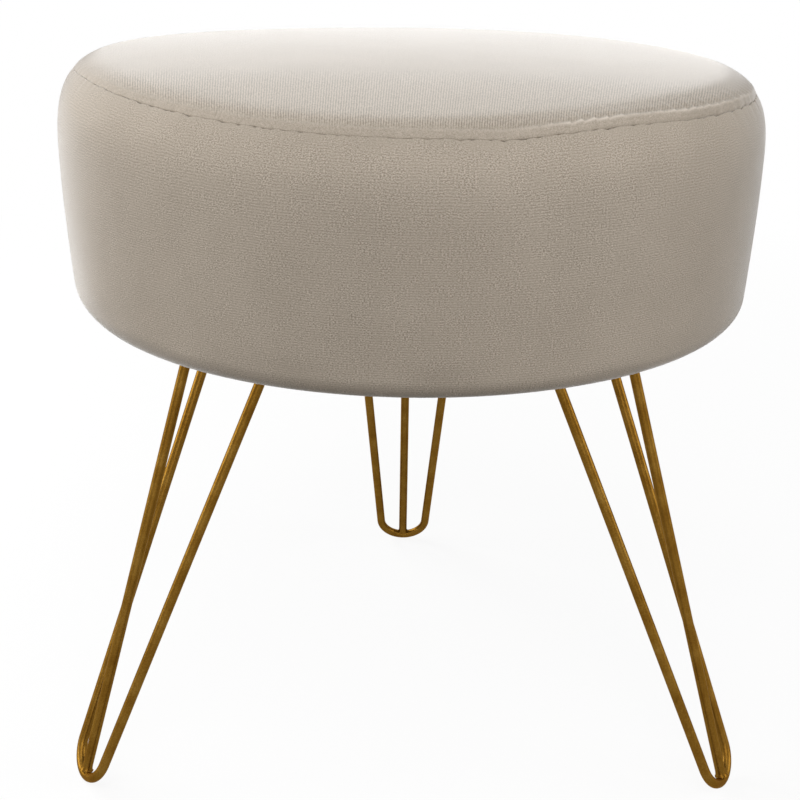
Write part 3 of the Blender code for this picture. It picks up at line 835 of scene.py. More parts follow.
def stitch_tree():
    """Short lengths of thread laid along a seam, each slanted a little by chance."""
    sizes = [("Stitches", "Int"), ("Stitch length", "Float"), ("Thread radius", "Float")]
    sizes += [("Slant", "Float"), ("Seed", "Int"), ("Material", "Material")]
    tree, given, out = new_tree("stitches along a seam", sizes)
    values = {"Curve": given["Geometry"], "Count": given["Stitches"]}
    spaced = node_in(tree, "GeometryNodeResampleCurve", values).outputs["Curve"]
    bead = node_in(tree, "GeometryNodeMeshIcoSphere", {"Radius": 1.0, "Subdivisions": 2}).outputs["Mesh"]
    half = maths(tree, "MULTIPLY", given["Stitch length"], 0.5)
    thread = given["Thread radius"]
    size = node_in(tree, "ShaderNodeCombineXYZ", {"X": half, "Y": thread, "Z": thread}).outputs[0]
    tangent = node_in(tree, "GeometryNodeInputTangent").outputs[0]
    laid = node_in(tree, "FunctionNodeAlignRotationToVector", {"Vector": tangent}, axis="X").outputs[0]
    least = maths(tree, "MULTIPLY", given["Slant"], 0.4)
    most = maths(tree, "MULTIPLY", given["Slant"], 1.6)
    slant = by_chance(tree, least, most, given["Seed"])
    return close_tree(tree, given, set_on_points(tree, spaced, bead, laid, slant, size), out)


def repeat_tree():
    """Copies of one small shape on points, turned as each point says, and turned and sized by chance."""
    sizes = [("Shape", "Object"), ("Loose turn", "Float"), ("Loose size", "Float"), ("Seed", "Int")]
    tree, given, out = new_tree("shapes on points", sizes + [("Material", "Material")])
    shape = node_in(tree, "GeometryNodeObjectInfo", {"Object": given["Shape"]}).outputs["Geometry"]
    stored = node_in(tree, "GeometryNodeInputNamedAttribute", {"Name": "turn"}, data_type="FLOAT_VECTOR")
    way = next(s for s in stored.outputs if s.enabled and s.name == "Attribute")
    other_way = maths(tree, "MULTIPLY", given["Loose turn"], -1.0)
    twist = by_chance(tree, other_way, given["Loose turn"], given["Seed"])
    small = maths(tree, "SUBTRACT", 1.0, given["Loose size"])
    large = maths(tree, "ADD", 1.0, given["Loose size"])
    size = by_chance(tree, small, large, given["Seed"])
    return close_tree(tree, given, set_on_points(tree, given["Geometry"], shape, way, twist, size), out)


def grown(name, seed_piece, tree, **inputs):
    """Run a tree on an object and keep what it grows as a plain mesh piece."""
    modifier = seed_piece.modifiers.new(tree.name, "NODES")
    modifier.node_group = tree
    for item in tree.interface.items_tree:
        label = item.name.replace(" ", "_").lower()
        if item.item_type == "SOCKET" and item.in_out == "INPUT" and label in inputs:
            modifier[item.identifier] = inputs[label]
    add(seed_piece)
    bpy.context.view_layer.update()
    evaluated = seed_piece.evaluated_get(bpy.context.evaluated_depsgraph_get())
    mesh = bpy.data.meshes.new_from_object(evaluated)
    mesh.name = name
    bpy.data.objects.remove(seed_piece)
    return add(bpy.data.objects.new(name, mesh))


def path_curve(name, path, closed=False):
    """A curve through (point, size) pairs."""
    curve = bpy.data.curves.new(name, "CURVE")
    curve.dimensions = "3D"
    spline = curve.splines.new("POLY")
    spline.points.add(len(path) - 1)
    for point, (spot, size) in zip(spline.points, path):
        point.co = (*spot, 1)
        point.radius = size
    spline.use_cyclic_u = closed
    return bpy.data.objects.new(name, curve)


def spot_mesh(name, spots):
    """Bare points for a tree to place shapes on, from (place, turn about X, Y and Z) pairs."""
    mesh = bpy.data.meshes.new(name)
    mesh.from_pydata([tuple(place) for place, _ in spots], [], [])
    turns = mesh.attributes.new("turn", "FLOAT_VECTOR", "POINT")
    turns.data.foreach_set("vector", [value for _, turn in spots for value in turn])
    return bpy.data.objects.new(name, mesh)


def repeated(name, shape, spots, tree, material, loose_turn, loose_size, seed):
    """One piece of copies of a shape on (place, turn) spots. The shape itself goes."""
    inputs = {"loose_turn": loose_turn, "loose_size": loose_size, "seed": seed, "material": material}
    piece = grown(name, spot_mesh(f"{name}_spots", spots), tree, shape=shape, **inputs)
    bpy.data.objects.remove(shape)
    return piece


def shaped(name, form):
    """A new object from a finished bmesh."""
    mesh = bpy.data.meshes.new(name)
    form.to_mesh(mesh)
    form.free()
    return add(bpy.data.objects.new(name, mesh))


def seam_stitches(tree, material):
    """Thread that shows in the groove between the top panel and the band."""
    turns = turns_round(SEAM_POINTS)
    seam = seam_length(turns)
    points = lean(spun(on_edge(seam) - STITCH_SINK * off_edge(seam), turns))
    path = [(point, 1.0) for point in points.tolist()]
    stitches = grown(
        "seam_stitches",
        path_curve("seam_path", path, closed=True),
        tree,
        stitches=THREAD_COUNT,
        stitch_length=THREAD_LENGTH,
        thread_radius=THREAD_RADIUS,
        slant=THREAD_SLANT,
        seed=3,
        material=material,
    )
    settle(stitches, "cover_fabric")


# Legs

def leg_matrix(side):
    """From a leg's own frame to the pouf's."""
    return Matrix.Translation(AXIS) @ Matrix.Rotation(LEG_TURNS[side], 4, "Z")


def flared(end):
    """The last short length of a rod, up to its plate, swelling into its weld."""
    return [(end + Vector((0, 0, share * WELD_HEIGHT)), 1 + WELD_FLARE * share**2) for share in WELD_STEPS]


def hairpin_path():
    """The U of a leg: down one side, round the foot and up the other, with its welded ends."""
    foot = Vector((FOOT_REACH, 0, FOOT_Z))
    top = Vector((PLATE_REACH, 0, ROD_TOP - WELD_HEIGHT))
    rise = (top - foot).length
    up = (top - foot).normalized()
    across = Vector((0, 1, 0))
    reach = math.hypot(U_WIDTH / 2, rise - BEND_RADIUS)
    touch = math.atan2(rise - BEND_RADIUS, U_WIDTH / 2) - math.acos(BEND_RADIUS / reach)
    sweep = math.pi + 2 * touch
    bend = []
    for step in range(BEND_STEPS + 1):
        angle = math.pi - touch + sweep * step / BEND_STEPS
        side = BEND_RADIUS * math.cos(angle)
        lift = BEND_RADIUS * (1 + math.sin(angle))
        bend.append((foot + across * side + up * lift, 1.0))
    half = across * (U_WIDTH / 2)
    ends = []
    for sign in (-1, 1):
        end = top + sign * half
        near = bend[0][0] if sign < 0 else bend[-1][0]
        straight = [(end.lerp(near, share), 1.0) for share in (0.012, 0.25, 0.5, 0.75, 0.97)]
        ends.append(flared(end)[::-1] + straight)
    return ends[0] + bend + ends[1][::-1]


def brace_path():
    """The third rod, from inside the bend to the plate, flared where it is welded."""
    foot = Vector((FOOT_REACH, 0, FOOT_Z))
    top = Vector((PLATE_REACH + BRACE_OFFSET, 0, ROD_TOP - WELD_HEIGHT))
    along = (top - foot).normalized()
    seat = foot + along * BRACE_SEAT
    path = []
    for share in (0, 0.3, 0.6, 1.0):
        path.append((seat + along * WELD_HEIGHT * share, 1 + BRACE_FLARE * (1 - share) ** 2))
    path += [(seat.lerp(top, share), 1.0) for share in (0.04, 0.25, 0.5, 0.75, 0.985)]
    return path + flared(top)


def level_foot(piece):
    """Cut a rod off flat where it stands on the floor."""
    form = bmesh.new()
    form.from_mesh(piece.data)
    bmesh.ops.remove_doubles(form, verts=form.verts, dist=1e-7)
    everything = form.verts[:] + form.edges[:] + form.faces[:]
    ground = {"plane_co": (0, 0, 0), "plane_no": (0, 0, -1)}
    cut = bmesh.ops.bisect_plane(form, geom=everything, clear_outer=True, **ground)
    rim = [item for item in cut["geom_cut"] if isinstance(item, bmesh.types.BMEdge)]
    bmesh.ops.contextual_create(form, geom=rim)
    bmesh.ops.recalc_face_normals(form, faces=form.faces)
    form.to_mesh(piece.data)
    form.free()
    piece.data.update()


def leg_rods(tree, material):
    """Both rods of each leg."""
    inputs = {"rod_radius": ROD_RADIUS, "sides": ROD_SIDES, "material": material}
    for side in SIDES:
        place = leg_matrix(side)
        for kind, path in (("hairpin_rod", hairpin_path()), ("brace_rod", brace_path())):
            placed = [(place @ spot, size) for spot, size in path]
            name = f"{kind}_{side}"
            rod = grown(f"{name}_gold", path_curve(f"{kind}_path", placed), tree, **inputs)
            level_foot(rod)
            settle(rod, "gold_metal", name)


def weld_lump(size):
    """One lump of weld."""
    form = bmesh.new()
    bmesh.ops.create_icosphere(form, subdivisions=2, radius=1)
    bmesh.ops.scale(form, vec=[share * size for share in LUMP_SHAPE], verts=form.verts)
    lump = shaped("weld_lump", form)
    lump.data.shade_smooth()
    return lump


def plate_weld_spots(side):
    """Where lumps of weld lie round the three rods of a leg, under its plate, and how they are turned."""
    place = leg_matrix(side)
    ends = [(PLATE_REACH, -U_WIDTH / 2), (PLATE_REACH, U_WIDTH / 2), (PLATE_REACH + BRACE_OFFSET, 0)]
    spots = []
    for angle in turns_round(LUMP_COUNT).tolist():
        out = Vector((math.cos(angle), math.sin(angle), 0)) * PLATE_LUMP_OUT
        turn = (0, PLATE_LUMP_TILT, angle + LEG_TURNS[side])
        spots += [(place @ (Vector((x, y, PLATE_LUMP_Z)) + out), turn) for x, y in ends]
    return spots


def foot_weld_spots(side):
    """The same for the brace rod's foot inside the bend."""
    place = leg_matrix(side)
    foot = Vector((FOOT_REACH, 0, FOOT_Z))
    along = (Vector((PLATE_REACH + BRACE_OFFSET, 0, ROD_TOP - WELD_HEIGHT)) - foot).normalized()
    wide = Vector((0, 1, 0))
    thin = along.cross(wide)
    spots = []
    for angle in turns_round(LUMP_COUNT).tolist():
        out = (wide * math.cos(angle) + thin * math.sin(angle)) * ROD_RADIUS
        lift = FOOT_LUMP_LIFT + FOOT_LUMP_RISE * math.cos(angle) ** 2
        spots.append((place @ (foot + along * lift + out), (0, 0, angle + LEG_TURNS[side])))
    return spots


def weld_beads(tree, material):
    """The runs of weld round each rod's end, under the plates and inside the bends."""
    loose = {"loose_turn": LUMP_TURN, "loose_size": LUMP_SPREAD}
    kinds = (("plate", plate_weld_spots, PLATE_LUMP), ("foot", foot_weld_spots, FOOT_LUMP))
    for seed, side in enumerate(SIDES):
        for where, weld_spots, size in kinds:
            name = f"{where}_weld_{side}"
            beads = repeated(name, weld_lump(size), weld_spots(side), tree, material, seed=seed, **loose)
            settle(beads, "gold_metal")


def leg_plates(material):
    """The plates, with their edges broken."""
    flat, corner, smooth = math.radians(2), math.radians(60), math.radians(40)
    rounding = {"offset": PLATE_BEVEL, "segments": 2, "profile": 0.6, "clamp_overlap": True}
    for side in SIDES:
        name = f"leg_plate_{side}"
        form = bmesh.new()
        form.from_mesh(NODES[name].data)
        bmesh.ops.remove_doubles(form, verts=form.verts, dist=1e-6)
        bmesh.ops.dissolve_limit(form, angle_limit=flat, verts=form.verts, edges=form.edges)
        rims = [edge for edge in form.edges if edge.calc_face_angle(0) > corner]
        bmesh.ops.bevel(form, geom=rims, affect="EDGES", **rounding)
        plate = shaped(f"{name}_gold", form)
        plate.data.shade_smooth()
        plate.data.set_sharp_from_angle(angle=smooth)
        settle(dress(plate, material), "gold_metal", name)


def recess_blade(turn):
    """One bar of a cross recess, at the top of a screw's head, narrower at its bottom."""
    form = bmesh.new()
    bmesh.ops.create_cube(form, size=1)
    bmesh.ops.scale(form, vec=RECESS_SIZE, verts=form.verts)
    for vert in form.verts:
        if vert.co.z > 0:
            vert.co.x *= RECESS_END[0]
            vert.co.y *= RECESS_END[1]
    bmesh.ops.rotate(form, cent=(0, 0, 0), matrix=Matrix.Rotation(turn, 3, "Z"), verts=form.verts)
    bmesh.ops.translate(form, vec=(0, 0, SCREW_PROFILE[0][1]), verts=form.verts)
    return shaped("recess", form)


def screw_shape():
    """A pan-head screw standing on its head, whose seat is at height 0, with a cross recess."""
    form = bmesh.new()
    points = [form.verts.new((radius, 0, height)) for radius, height in SCREW_PROFILE]
    edges = [form.edges.new(pair) for pair in zip(points, points[1:])]
    once_round = {"axis": (0, 0, 1), "cent": (0, 0, 0), "angle": 2 * math.pi, "steps": SCREW_SIDES}
    bmesh.ops.spin(form, geom=points + edges, use_merge=True, **once_round)
    bmesh.ops.remove_doubles(form, verts=form.verts, dist=1e-6)
    bmesh.ops.recalc_face_normals(form, faces=form.faces)
    screw = shaped("leg_screw_shape", form)
    blades = [recess_blade(0), recess_blade(math.pi / 2)]
    for blade in blades:
        boolean = screw.modifiers.new("recess", "BOOLEAN")
        boolean.operation = "DIFFERENCE"
        boolean.solver = "EXACT"
        boolean.object = blade
    bpy.context.view_layer.update()
    cut = bpy.data.meshes.new_from_object(screw.evaluated_get(bpy.context.evaluated_depsgraph_get()))
    screw.modifiers.clear()
    for blade in blades:
        bpy.data.objects.remove(blade)
    screw.data = cut
    cut.shade_smooth()
    cut.set_sharp_from_angle(angle=math.radians(35))
    return screw


def leg_screws(tree, material):
    """The nine screws that hold the plates to the base board, each turned by chance."""
    holes = [(0, -U_WIDTH / 2 - PLATE_EAR), (BRACE_OFFSET + PLATE_EAR, 0), (0, U_WIDTH / 2 + PLATE_EAR)]
    spots = []
    for side in SIDES:
        place = leg_matrix(side)
        for x, y in holes:
            spots.append((place @ Vector((PLATE_REACH + x, y, PLATE_LOW - GAP / 3)), (0, 0, 0)))
    loose = {"loose_turn": math.pi, "loose_size": 0.0}
    screws = repeated("leg_screws", screw_shape(), spots, tree, material, seed=5, **loose)
    names = [f"leg_screw_{side}_{number}" for side in SIDES for number in (1, 2, 3)]
    settle(screws, "zinc_steel", *names)


# Under the seat

def dust_cloth(material):
    """The black cloth stapled under the base board, pulled a little at each staple."""
    turns = turns_round(DUST_COLUMNS)
    inner_rings = np.linspace(POLE_RADIUS, DUST_STEP - 0.004, DUST_ROWS[0])
    outer_rings = np.linspace(DUST_STEP - 0.001, DUST_RADIUS, DUST_ROWS[1])
    radius = np.concatenate([inner_rings, outer_rings])
    spread = radius[:, None]
    height = DUST_HIGH + (DUST_LOW - DUST_HIGH) * eased(spread, DUST_STEP - 0.002, HEM_RADIUS)
    pull = np.cos(STAPLE_COUNT * turns) * bell(spread - STAPLE_RADIUS, DUST_PULL_REACH)
    fold = ring_noise(turns, 51, 9, 26) * np.sin(math.pi * np.clip(spread / DUST_STEP, 0, 1)) ** 2
    room = np.full((len(radius), len(turns)), 1.0)
    spots = spun(np.stack([np.broadcast_to(spread, room.shape), np.zeros_like(room)], axis=-1), turns)
    for side in SIDES:
        middle = leg_matrix(side) @ Vector((PLATE_REACH + BRACE_OFFSET / 2, 0, 0))
        away = np.hypot(spots[..., 0] - middle.x, spots[..., 1] - middle.y)
        room = room * eased(away, *DUST_CLEAR)
    height = height - DUST_PULL * (1 + pull) - DUST_FOLD * np.clip(0.5 + fold, 0, 1) * room
    outer = np.stack([np.broadcast_to(spread, height.shape), height], axis=-1)
    inner = outer.copy()
    inner[..., 1] += DUST_THICKNESS
    whole = np.concatenate([inner, outer[::-1]])
    cloth = lathe("dust_cloth", spun(whole, turns)[::-1], poles=(True, True))
    dress(cloth, material)
    settle(cloth, "dust_cloth", "dust_cover")


def staple_shape():
    """A flat-wire staple, its crown along X at height 0 and its legs up into the wood."""
    half, wire, flat, leg, broken_edge = 0.0050, 0.0011, 0.0006, 0.0012, 0.00016
    form = bmesh.new()
    bmesh.ops.create_cube(form, size=1)
    bmesh.ops.scale(form, vec=(2 * half, wire, flat), verts=form.verts)
    for sign in (-1, 1):
        made = bmesh.ops.create_cube(form, size=1)["verts"]
        bmesh.ops.scale(form, vec=(flat, wire, leg), verts=made)
        bmesh.ops.translate(form, vec=(sign * (half - flat / 2), 0, leg / 2), verts=made)
    bmesh.ops.bevel(form, geom=form.edges[:], offset=broken_edge, segments=1, affect="EDGES")
    return shaped("staple_shape", form)


def staples(tree, material):
    """Staples round the dust cloth's edge."""
    spots = []
    for angle in turns_round(STAPLE_COUNT).tolist():
        out = Vector((math.cos(angle), math.sin(angle), 0)) * STAPLE_RADIUS
        spots.append((AXIS + out + Vector((0, 0, STAPLE_Z)), (0, 0, angle + math.pi / 2)))
    loose = {"loose_turn": STAPLE_TURN, "loose_size": STAPLE_SPREAD}
    row = repeated("dust_cloth_staples", staple_shape(), spots, tree, material, seed=8, **loose)
    settle(row, "zinc_steel")


# Finishes

def new_finish(name, values):
    """A material with these values on its shader, and the shader and tree to build on."""
    material = bpy.data.materials.new(name)
    material.use_nodes = True
    tree = material.node_tree
    shader = tree.nodes["Principled BSDF"]
    for label, value in values.items():
        shader.inputs[label].default_value = value
    return material, tree, shader


def object_places(tree, scale=(1, 1, 1), turn=(0, 0, 0)):
    """The piece's own coordinates, in metres, centred on the seat's axis."""
    source = node_in(tree, "ShaderNodeTexCoord")
    centred = node_in(
        tree,
        "ShaderNodeMapping",
        {"Vector": source.outputs["Object"], "Location": (-AXIS.x, -AXIS.y, 0)},
    )
    values = {"Vector": centred.outputs["Vector"], "Scale": scale, "Rotation": turn}
    return node_in(tree, "ShaderNodeMapping", values).outputs["Vector"]


def cloth_places(tree, scale=(1, 1, 1)):
    """Places along the cloth, in metres, from its own map."""
    source = node_in(tree, "ShaderNodeUVMap", uv_map="cloth")
    values = {"Vector": source.outputs["UV"], "Scale": scale}
    return node_in(tree, "ShaderNodeMapping", values).outputs["Vector"]


def speckle(tree, places, size, detail=2.0, roughness=0.5):
    """Noise whose blots are about this many metres across."""
    values = {"Vector": places, "Scale": 1 / size, "Detail": detail, "Roughness": roughness}
    return node_in(tree, "ShaderNodeTexNoise", values).outputs["Fac"]


def shades(tree, factor, *stops):
    """Colours from (place, colour) stops."""
    ramp = node_in(tree, "ShaderNodeValToRGB", {"Fac": factor})
    elements = ramp.color_ramp.elements
    while len(elements) < len(stops):
        elements.new(0.5)
    for element, (place, colour) in zip(elements, stops):
        element.position = place
        element.color = (*colour, 1)
    return ramp.outputs["Color"]


def mixed(tree, factor, first, second):
    """The first colour where the factor is 0 and the second where it is 1."""
    values = {"Fac": factor, "Color1": first, "Color2": second}
    return node_in(tree, "ShaderNodeMixRGB", values).outputs["Color"]


def sums(tree, *parts):
    """Weighted sum of (socket, weight) parts."""
    total = 0.0
    for socket, weight in parts:
        total = maths(tree, "MULTIPLY_ADD", socket, weight, total)
    return total


def ranged(tree, factor, start, end, least=0.0, most=1.0):
    """A number from least to most as the factor goes from start to end."""
    values = {"Value": factor, "From Min": start, "From Max": end, "To Min": least, "To Max": most}
    return node_in(tree, "ShaderNodeMapRange", values).outputs["Result"]


def coloured(tree, shader, colour):
    """Give a surface its colour."""
    tree.links.new(colour, shader.inputs["Base Color"])


def roughened(tree, shader, factor, least, most):
    """Let a surface's roughness go from least to most as the factor goes from 0 to 1."""
    tree.links.new(ranged(tree, factor, 0, 1, least, most), shader.inputs["Roughness"])


def bumped(tree, shader, height, depth):
    """Raise a surface by a height field, up to this many metres."""
    values = {"Height": height, "Distance": depth, "Strength": 1.0}
    bump = node_in(tree, "ShaderNodeBump", values)
    tree.links.new(bump.outputs["Normal"], shader.inputs["Normal"])


SUEDE_DARK = (0.31, 0.265, 0.21)
SUEDE_MIDDLE = (0.45, 0.388, 0.318)
SUEDE_LIGHT = (0.60, 0.525, 0.44)
# The painted highlight's colour, along the ridge's crest
SUEDE_CREST_HIGHLIGHT = (0.82, 0.74, 0.65)
SUEDE_NAP = {
    "Roughness": 0.88,
    "Sheen Weight": 1.0,
    "Sheen Roughness": 0.30,
    "Sheen Tint": (1.0, 0.985, 0.968, 1),
    "Specular IOR Level": 0.22,
}
BRUSHED_SHADE = 0.06  # share of the cloth's tone that its broad brushed patches make


def suede(name, ribs, flecks, rib_shade, fleck_shade, rib_depth, nap_depth):
    """Short-napped cloth with a sheen: ribs, flecks, grain and brushed patches, and lighter where a
    highlight is painted along the seam's crest.
    """
    material, tree, shader = new_finish(name, SUEDE_NAP)
    rib, fleck = ribs(tree), flecks(tree)
    grain = speckle(tree, object_places(tree), size=0.0005, roughness=0.6)
    brushed = speckle(tree, object_places(tree), size=0.03, detail=3.0)
    rest = 1 - BRUSHED_SHADE - rib_shade - fleck_shade
    tone = sums(tree, (rib, rib_shade), (fleck, fleck_shade), (grain, rest), (brushed, BRUSHED_SHADE))
    plain = shades(tree, tone, (0.38, SUEDE_DARK), (0.50, SUEDE_MIDDLE), (0.62, SUEDE_LIGHT))
    # Painted highlight along the ridge's crest, from the top panel's points; the band has none
    crest_highlight = node_in(tree, "ShaderNodeAttribute", attribute_name="crest_highlight").outputs["Fac"]
    coloured(tree, shader, mixed(tree, crest_highlight, plain, (*SUEDE_CREST_HIGHLIGHT, 1)))
    height = sums(tree, (rib, rib_depth), (fleck, 0.4), (grain, 0.4))
    bumped(tree, shader, height, nap_depth)
    return material


def wave(tree, places, period, direction="X"):
    """Ribs of this period along one axis of the places, a little unsteady."""
    radians = 20  # of wave over one metre, at a scale of 1
    values = {
        "Vector": places,
        "Scale": 2 * math.pi / (radians * period),
        "Distortion": 1.6,
        "Detail": 2.0,
        "Detail Scale": 0.6,
    }
    made = node_in(tree, "ShaderNodeTexWave", values, bands_direction=direction)
    return made.outputs["Fac"]


def weakened(tree, pattern, share):
    """A pattern whose swing about its middle, 0.5, is cut down or stretched to this share."""
    about = maths(tree, "SUBTRACT", pattern, 0.5)
    return maths(tree, "MULTIPLY_ADD", about, share, 0.5)


def fading(tree, pattern, places, gone, full, least=0.0):
    """A pattern that dies out along the second axis of its places, from full to the least share of it."""
    length = node_in(tree, "ShaderNodeSeparateXYZ", {"Vector": places}).outputs["Y"]
    return weakened(tree, pattern, ranged(tree, length, gone, full, least))


def patchy(tree, pattern, places, size, least, most):
    """A pattern that is brushed down in some patches and raised in others."""
    patches = speckle(tree, places, size)
    return weakened(tree, pattern, ranged(tree, patches, 0.38, 0.62, least, most))


RIB_PERIOD = 0.0013
RIB_TURN = (0, 0, math.radians(1.7))
RIB_FAN = 0.908  # the ribs of the top fan out from a point this far in front of its middle
RIB_FRONT = 0.12  # and have their own period this far in front of it
RIB_START = RIDGE_CREST + 0.006  # in from the seam, where the folded edge no longer flattens them
BRUSHED = (-0.07, -0.10)  # across the top, where its nap is brushed down, and where it isn't any more


def fanned(tree, stretch=1.0):
    """Places on the top whose first axis crosses its ribs and whose second runs along them."""
    places = object_places(tree, turn=RIB_TURN)
    parts = node_in(tree, "ShaderNodeSeparateXYZ", {"Vector": places}).outputs
    away = maths(tree, "ADD", parts["Y"], RIB_FAN)
    across = maths(tree, "MULTIPLY", maths(tree, "DIVIDE", parts["X"], away), RIB_FAN - RIB_FRONT)
    along = maths(tree, "MULTIPLY", parts["Y"], stretch)
    return node_in(tree, "ShaderNodeCombineXYZ", {"X": across, "Y": along, "Z": parts["Z"]}).outputs[0]


def top_ribs(tree):
    """Ribs from front to back, flat at the folded seam and brushed down towards the back."""
    ribs = wave(tree, fanned(tree), RIB_PERIOD)
    ribs = fading(tree, ribs, cloth_places(tree), RIDGE_CREST, RIB_START)
    return fading(tree, ribs, object_places(tree), *BRUSHED, least=0.08)


def top_flecks(tree):
    """Short flecks along the ribs, weaker at the seam and towards the back."""
    flecks = speckle(tree, fanned(tree, stretch=0.35), size=0.0009)
    flecks = fading(tree, flecks, cloth_places(tree), 0, RIB_START, least=0.3)
    return fading(tree, flecks, object_places(tree), *BRUSHED, least=0.25)


def suede_top():
    """The top panel's cloth."""
    return suede(
        "taupe suede, top panel",
        ribs=top_ribs,
        flecks=top_flecks,
        rib_shade=0.20,
        fleck_shade=0.38,
        rib_depth=0.4,
        nap_depth=0.00014,
    )


def band_ribs(tree):
    """The same ribs, running round the seat."""
    ribs = wave(tree, cloth_places(tree), RIB_PERIOD, "Y")
    return fading(tree, ribs, cloth_places(tree), gone=0, full=-0.010)


def band_flecks(tree):
    """Short flecks along the ribs, uneven, and weak where the seam draws the cloth tight."""
    flecks = speckle(tree, cloth_places(tree, (0.45, 1, 1)), size=0.00040)
    flecks = patchy(tree, flecks, cloth_places(tree), size=0.008, least=0.6, most=1.5)
    return fading(tree, flecks, cloth_places(tree), gone=0.001, full=-0.005, least=0.2)


def suede_band():
    """The band's cloth."""
    return suede(
        "taupe suede, side band",
        ribs=band_ribs,
        flecks=band_flecks,
        rib_shade=0.06,
        fleck_shade=0.74,
        rib_depth=0.11,
        nap_depth=0.00023,
    )


# Thread colours, far darker than the cloth, so that the thread also paints the shade in the seam's groove
THREAD_AND_SHADE_DARK = (0.16, 0.135, 0.105)
THREAD_AND_SHADE_LIGHT = (0.26, 0.22, 0.175)


def dark_thread_and_groove_shade():
    """Polyester thread, far darker than the cloth, so that it also paints the shade in the seam's groove.
    """
    material, tree, shader = new_finish("seam thread darkened for groove shade", {"Roughness": 0.6, "Sheen Weight": 0.2})
    fibre = speckle(tree, object_places(tree), size=0.0003)
    coloured(tree, shader, shades(tree, fibre, (0.35, THREAD_AND_SHADE_DARK), (0.7, THREAD_AND_SHADE_LIGHT)))
    bumped(tree, shader, fibre, 0.0001)
    return material


GOLD_GLOSS = {"Metallic": 0.85, "Specular IOR Level": 0.3, "Specular Tint": (0.75, 0.55, 0.25, 1)}
GOLD_DARK = (0.105, 0.045, 0.004)
GOLD_MIDDLE = (0.16, 0.078, 0.010)
GOLD_LIGHT = (0.23, 0.13, 0.026)
WELD_DARK = (0.10, 0.045, 0.005)
WELD_LIGHT = (0.17, 0.085, 0.012)


def satin_gold():
    """Gold-coloured plating on drawn steel: slightly cloudy, rubbed thin here and there."""
    material, tree, shader = new_finish("satin gold rod", GOLD_GLOSS)
    cloud = speckle(tree, object_places(tree), size=0.012, detail=3.0)
    fine = speckle(tree, object_places(tree), size=0.0008, detail=3.0, roughness=0.65)
    tone = sums(tree, (cloud, 0.45), (fine, 0.55))
    coloured(tree, shader, shades(tree, tone, (0.32, GOLD_DARK), (0.5, GOLD_MIDDLE), (0.70, GOLD_LIGHT)))
    roughened(tree, shader, tone, 0.26, 0.46)
    bumped(tree, shader, fine, 0.00004)
    return material


def weld_gold():
    """The same plating over weld, duller and rougher."""
    material, tree, shader = new_finish("satin gold over weld", GOLD_GLOSS)
    fine = speckle(tree, object_places(tree), size=0.0007, detail=4.0, roughness=0.7)
    coloured(tree, shader, shades(tree, fine, (0.35, WELD_DARK), (0.65, WELD_LIGHT)))
    roughened(tree, shader, fine, 0.35, 0.6)
    bumped(tree, shader, fine, 0.00012)
    return material


ZINC_DARK = (0.48, 0.48, 0.45)
ZINC_LIGHT = (0.68, 0.68, 0.66)


def bright_zinc():
    """Zinc-plated steel with a faint blotchy bloom."""
    material, tree, shader = new_finish("zinc-plated steel", {"Metallic": 1.0})
    bloom = speckle(tree, object_places(tree), size=0.002, detail=3.0)
    coloured(tree, shader, shades(tree, bloom, (0.3, ZINC_DARK), (0.7, ZINC_LIGHT)))
    roughened(tree, shader, bloom, 0.25, 0.45)
    bumped(tree, shader, speckle(tree, object_places(tree), size=0.0004), 0.00003)
    return material


DUST_DARK = (0.012, 0.012, 0.013)
DUST_LIGHT = (0.040, 0.040, 0.042)
DIMPLE_PERIOD = 0.0016


def black_non_woven():
    """Spun-bonded black cloth with its small pressed dimples."""
    material, tree, shader = new_finish("black non-woven cloth", {"Roughness": 0.85, "Sheen Weight": 0.15})
    places = object_places(tree)
    rows, columns = (wave(tree, places, DIMPLE_PERIOD, direction) for direction in "XY")
    fibre = speckle(tree, places, size=0.0006, detail=4.0, roughness=0.7)
    tone = sums(tree, (maths(tree, "MULTIPLY", rows, columns), 0.5), (fibre, 0.5))
    coloured(tree, shader, shades(tree, tone, (0.25, DUST_DARK), (0.75, DUST_LIGHT)))
    bumped(tree, shader, tone, 0.00025)
    return material


def timber(name, dark, light, grain_scale):
    """Raw wood or board, its grain drawn out along the axes whose scale is small."""
    material, tree, shader = new_finish(name, {"Roughness": 0.7})
    places = object_places(tree, grain_scale)
    grain = speckle(tree, places, size=0.006, detail=5.0, roughness=0.6)
    pores = speckle(tree, places, size=0.0015, detail=3.0)
    tone = sums(tree, (grain, 0.7), (pores, 0.3))
    coloured(tree, shader, shades(tree, tone, (0.35, dark), (0.65, light)))
    bumped(tree, shader, pores, 0.0001)
    return material


def inner_finishes(zinc):
    """Finish the drum's own solids, which the cover hides."""
    plywood = timber("birch plywood", (0.45, 0.31, 0.18), (0.68, 0.52, 0.34), (0.12, 1, 6))
    pine = timber("sawn pine", (0.52, 0.34, 0.17), (0.78, 0.60, 0.38), (1, 1, 0.08))
    fibreboard = timber("hard fibreboard", (0.20, 0.12, 0.065), (0.34, 0.22, 0.13), (1, 1, 1))
    for name, node in NODES.items():
        if name.endswith("_board"):
            dress_solid(node, plywood)
        elif name.startswith("post"):
            dress_solid(node, pine)
        elif name == "wall_hoop":
            dress_solid(node, fibreboard)
        elif name.startswith(("base_screw", "seat_screw")):
            dress_solid(node, zinc)


def dress_solid(node, material):
    """Put a finish on a solid's own material slots."""
    for place in node.material_slots:
        place.material = material


# Scene

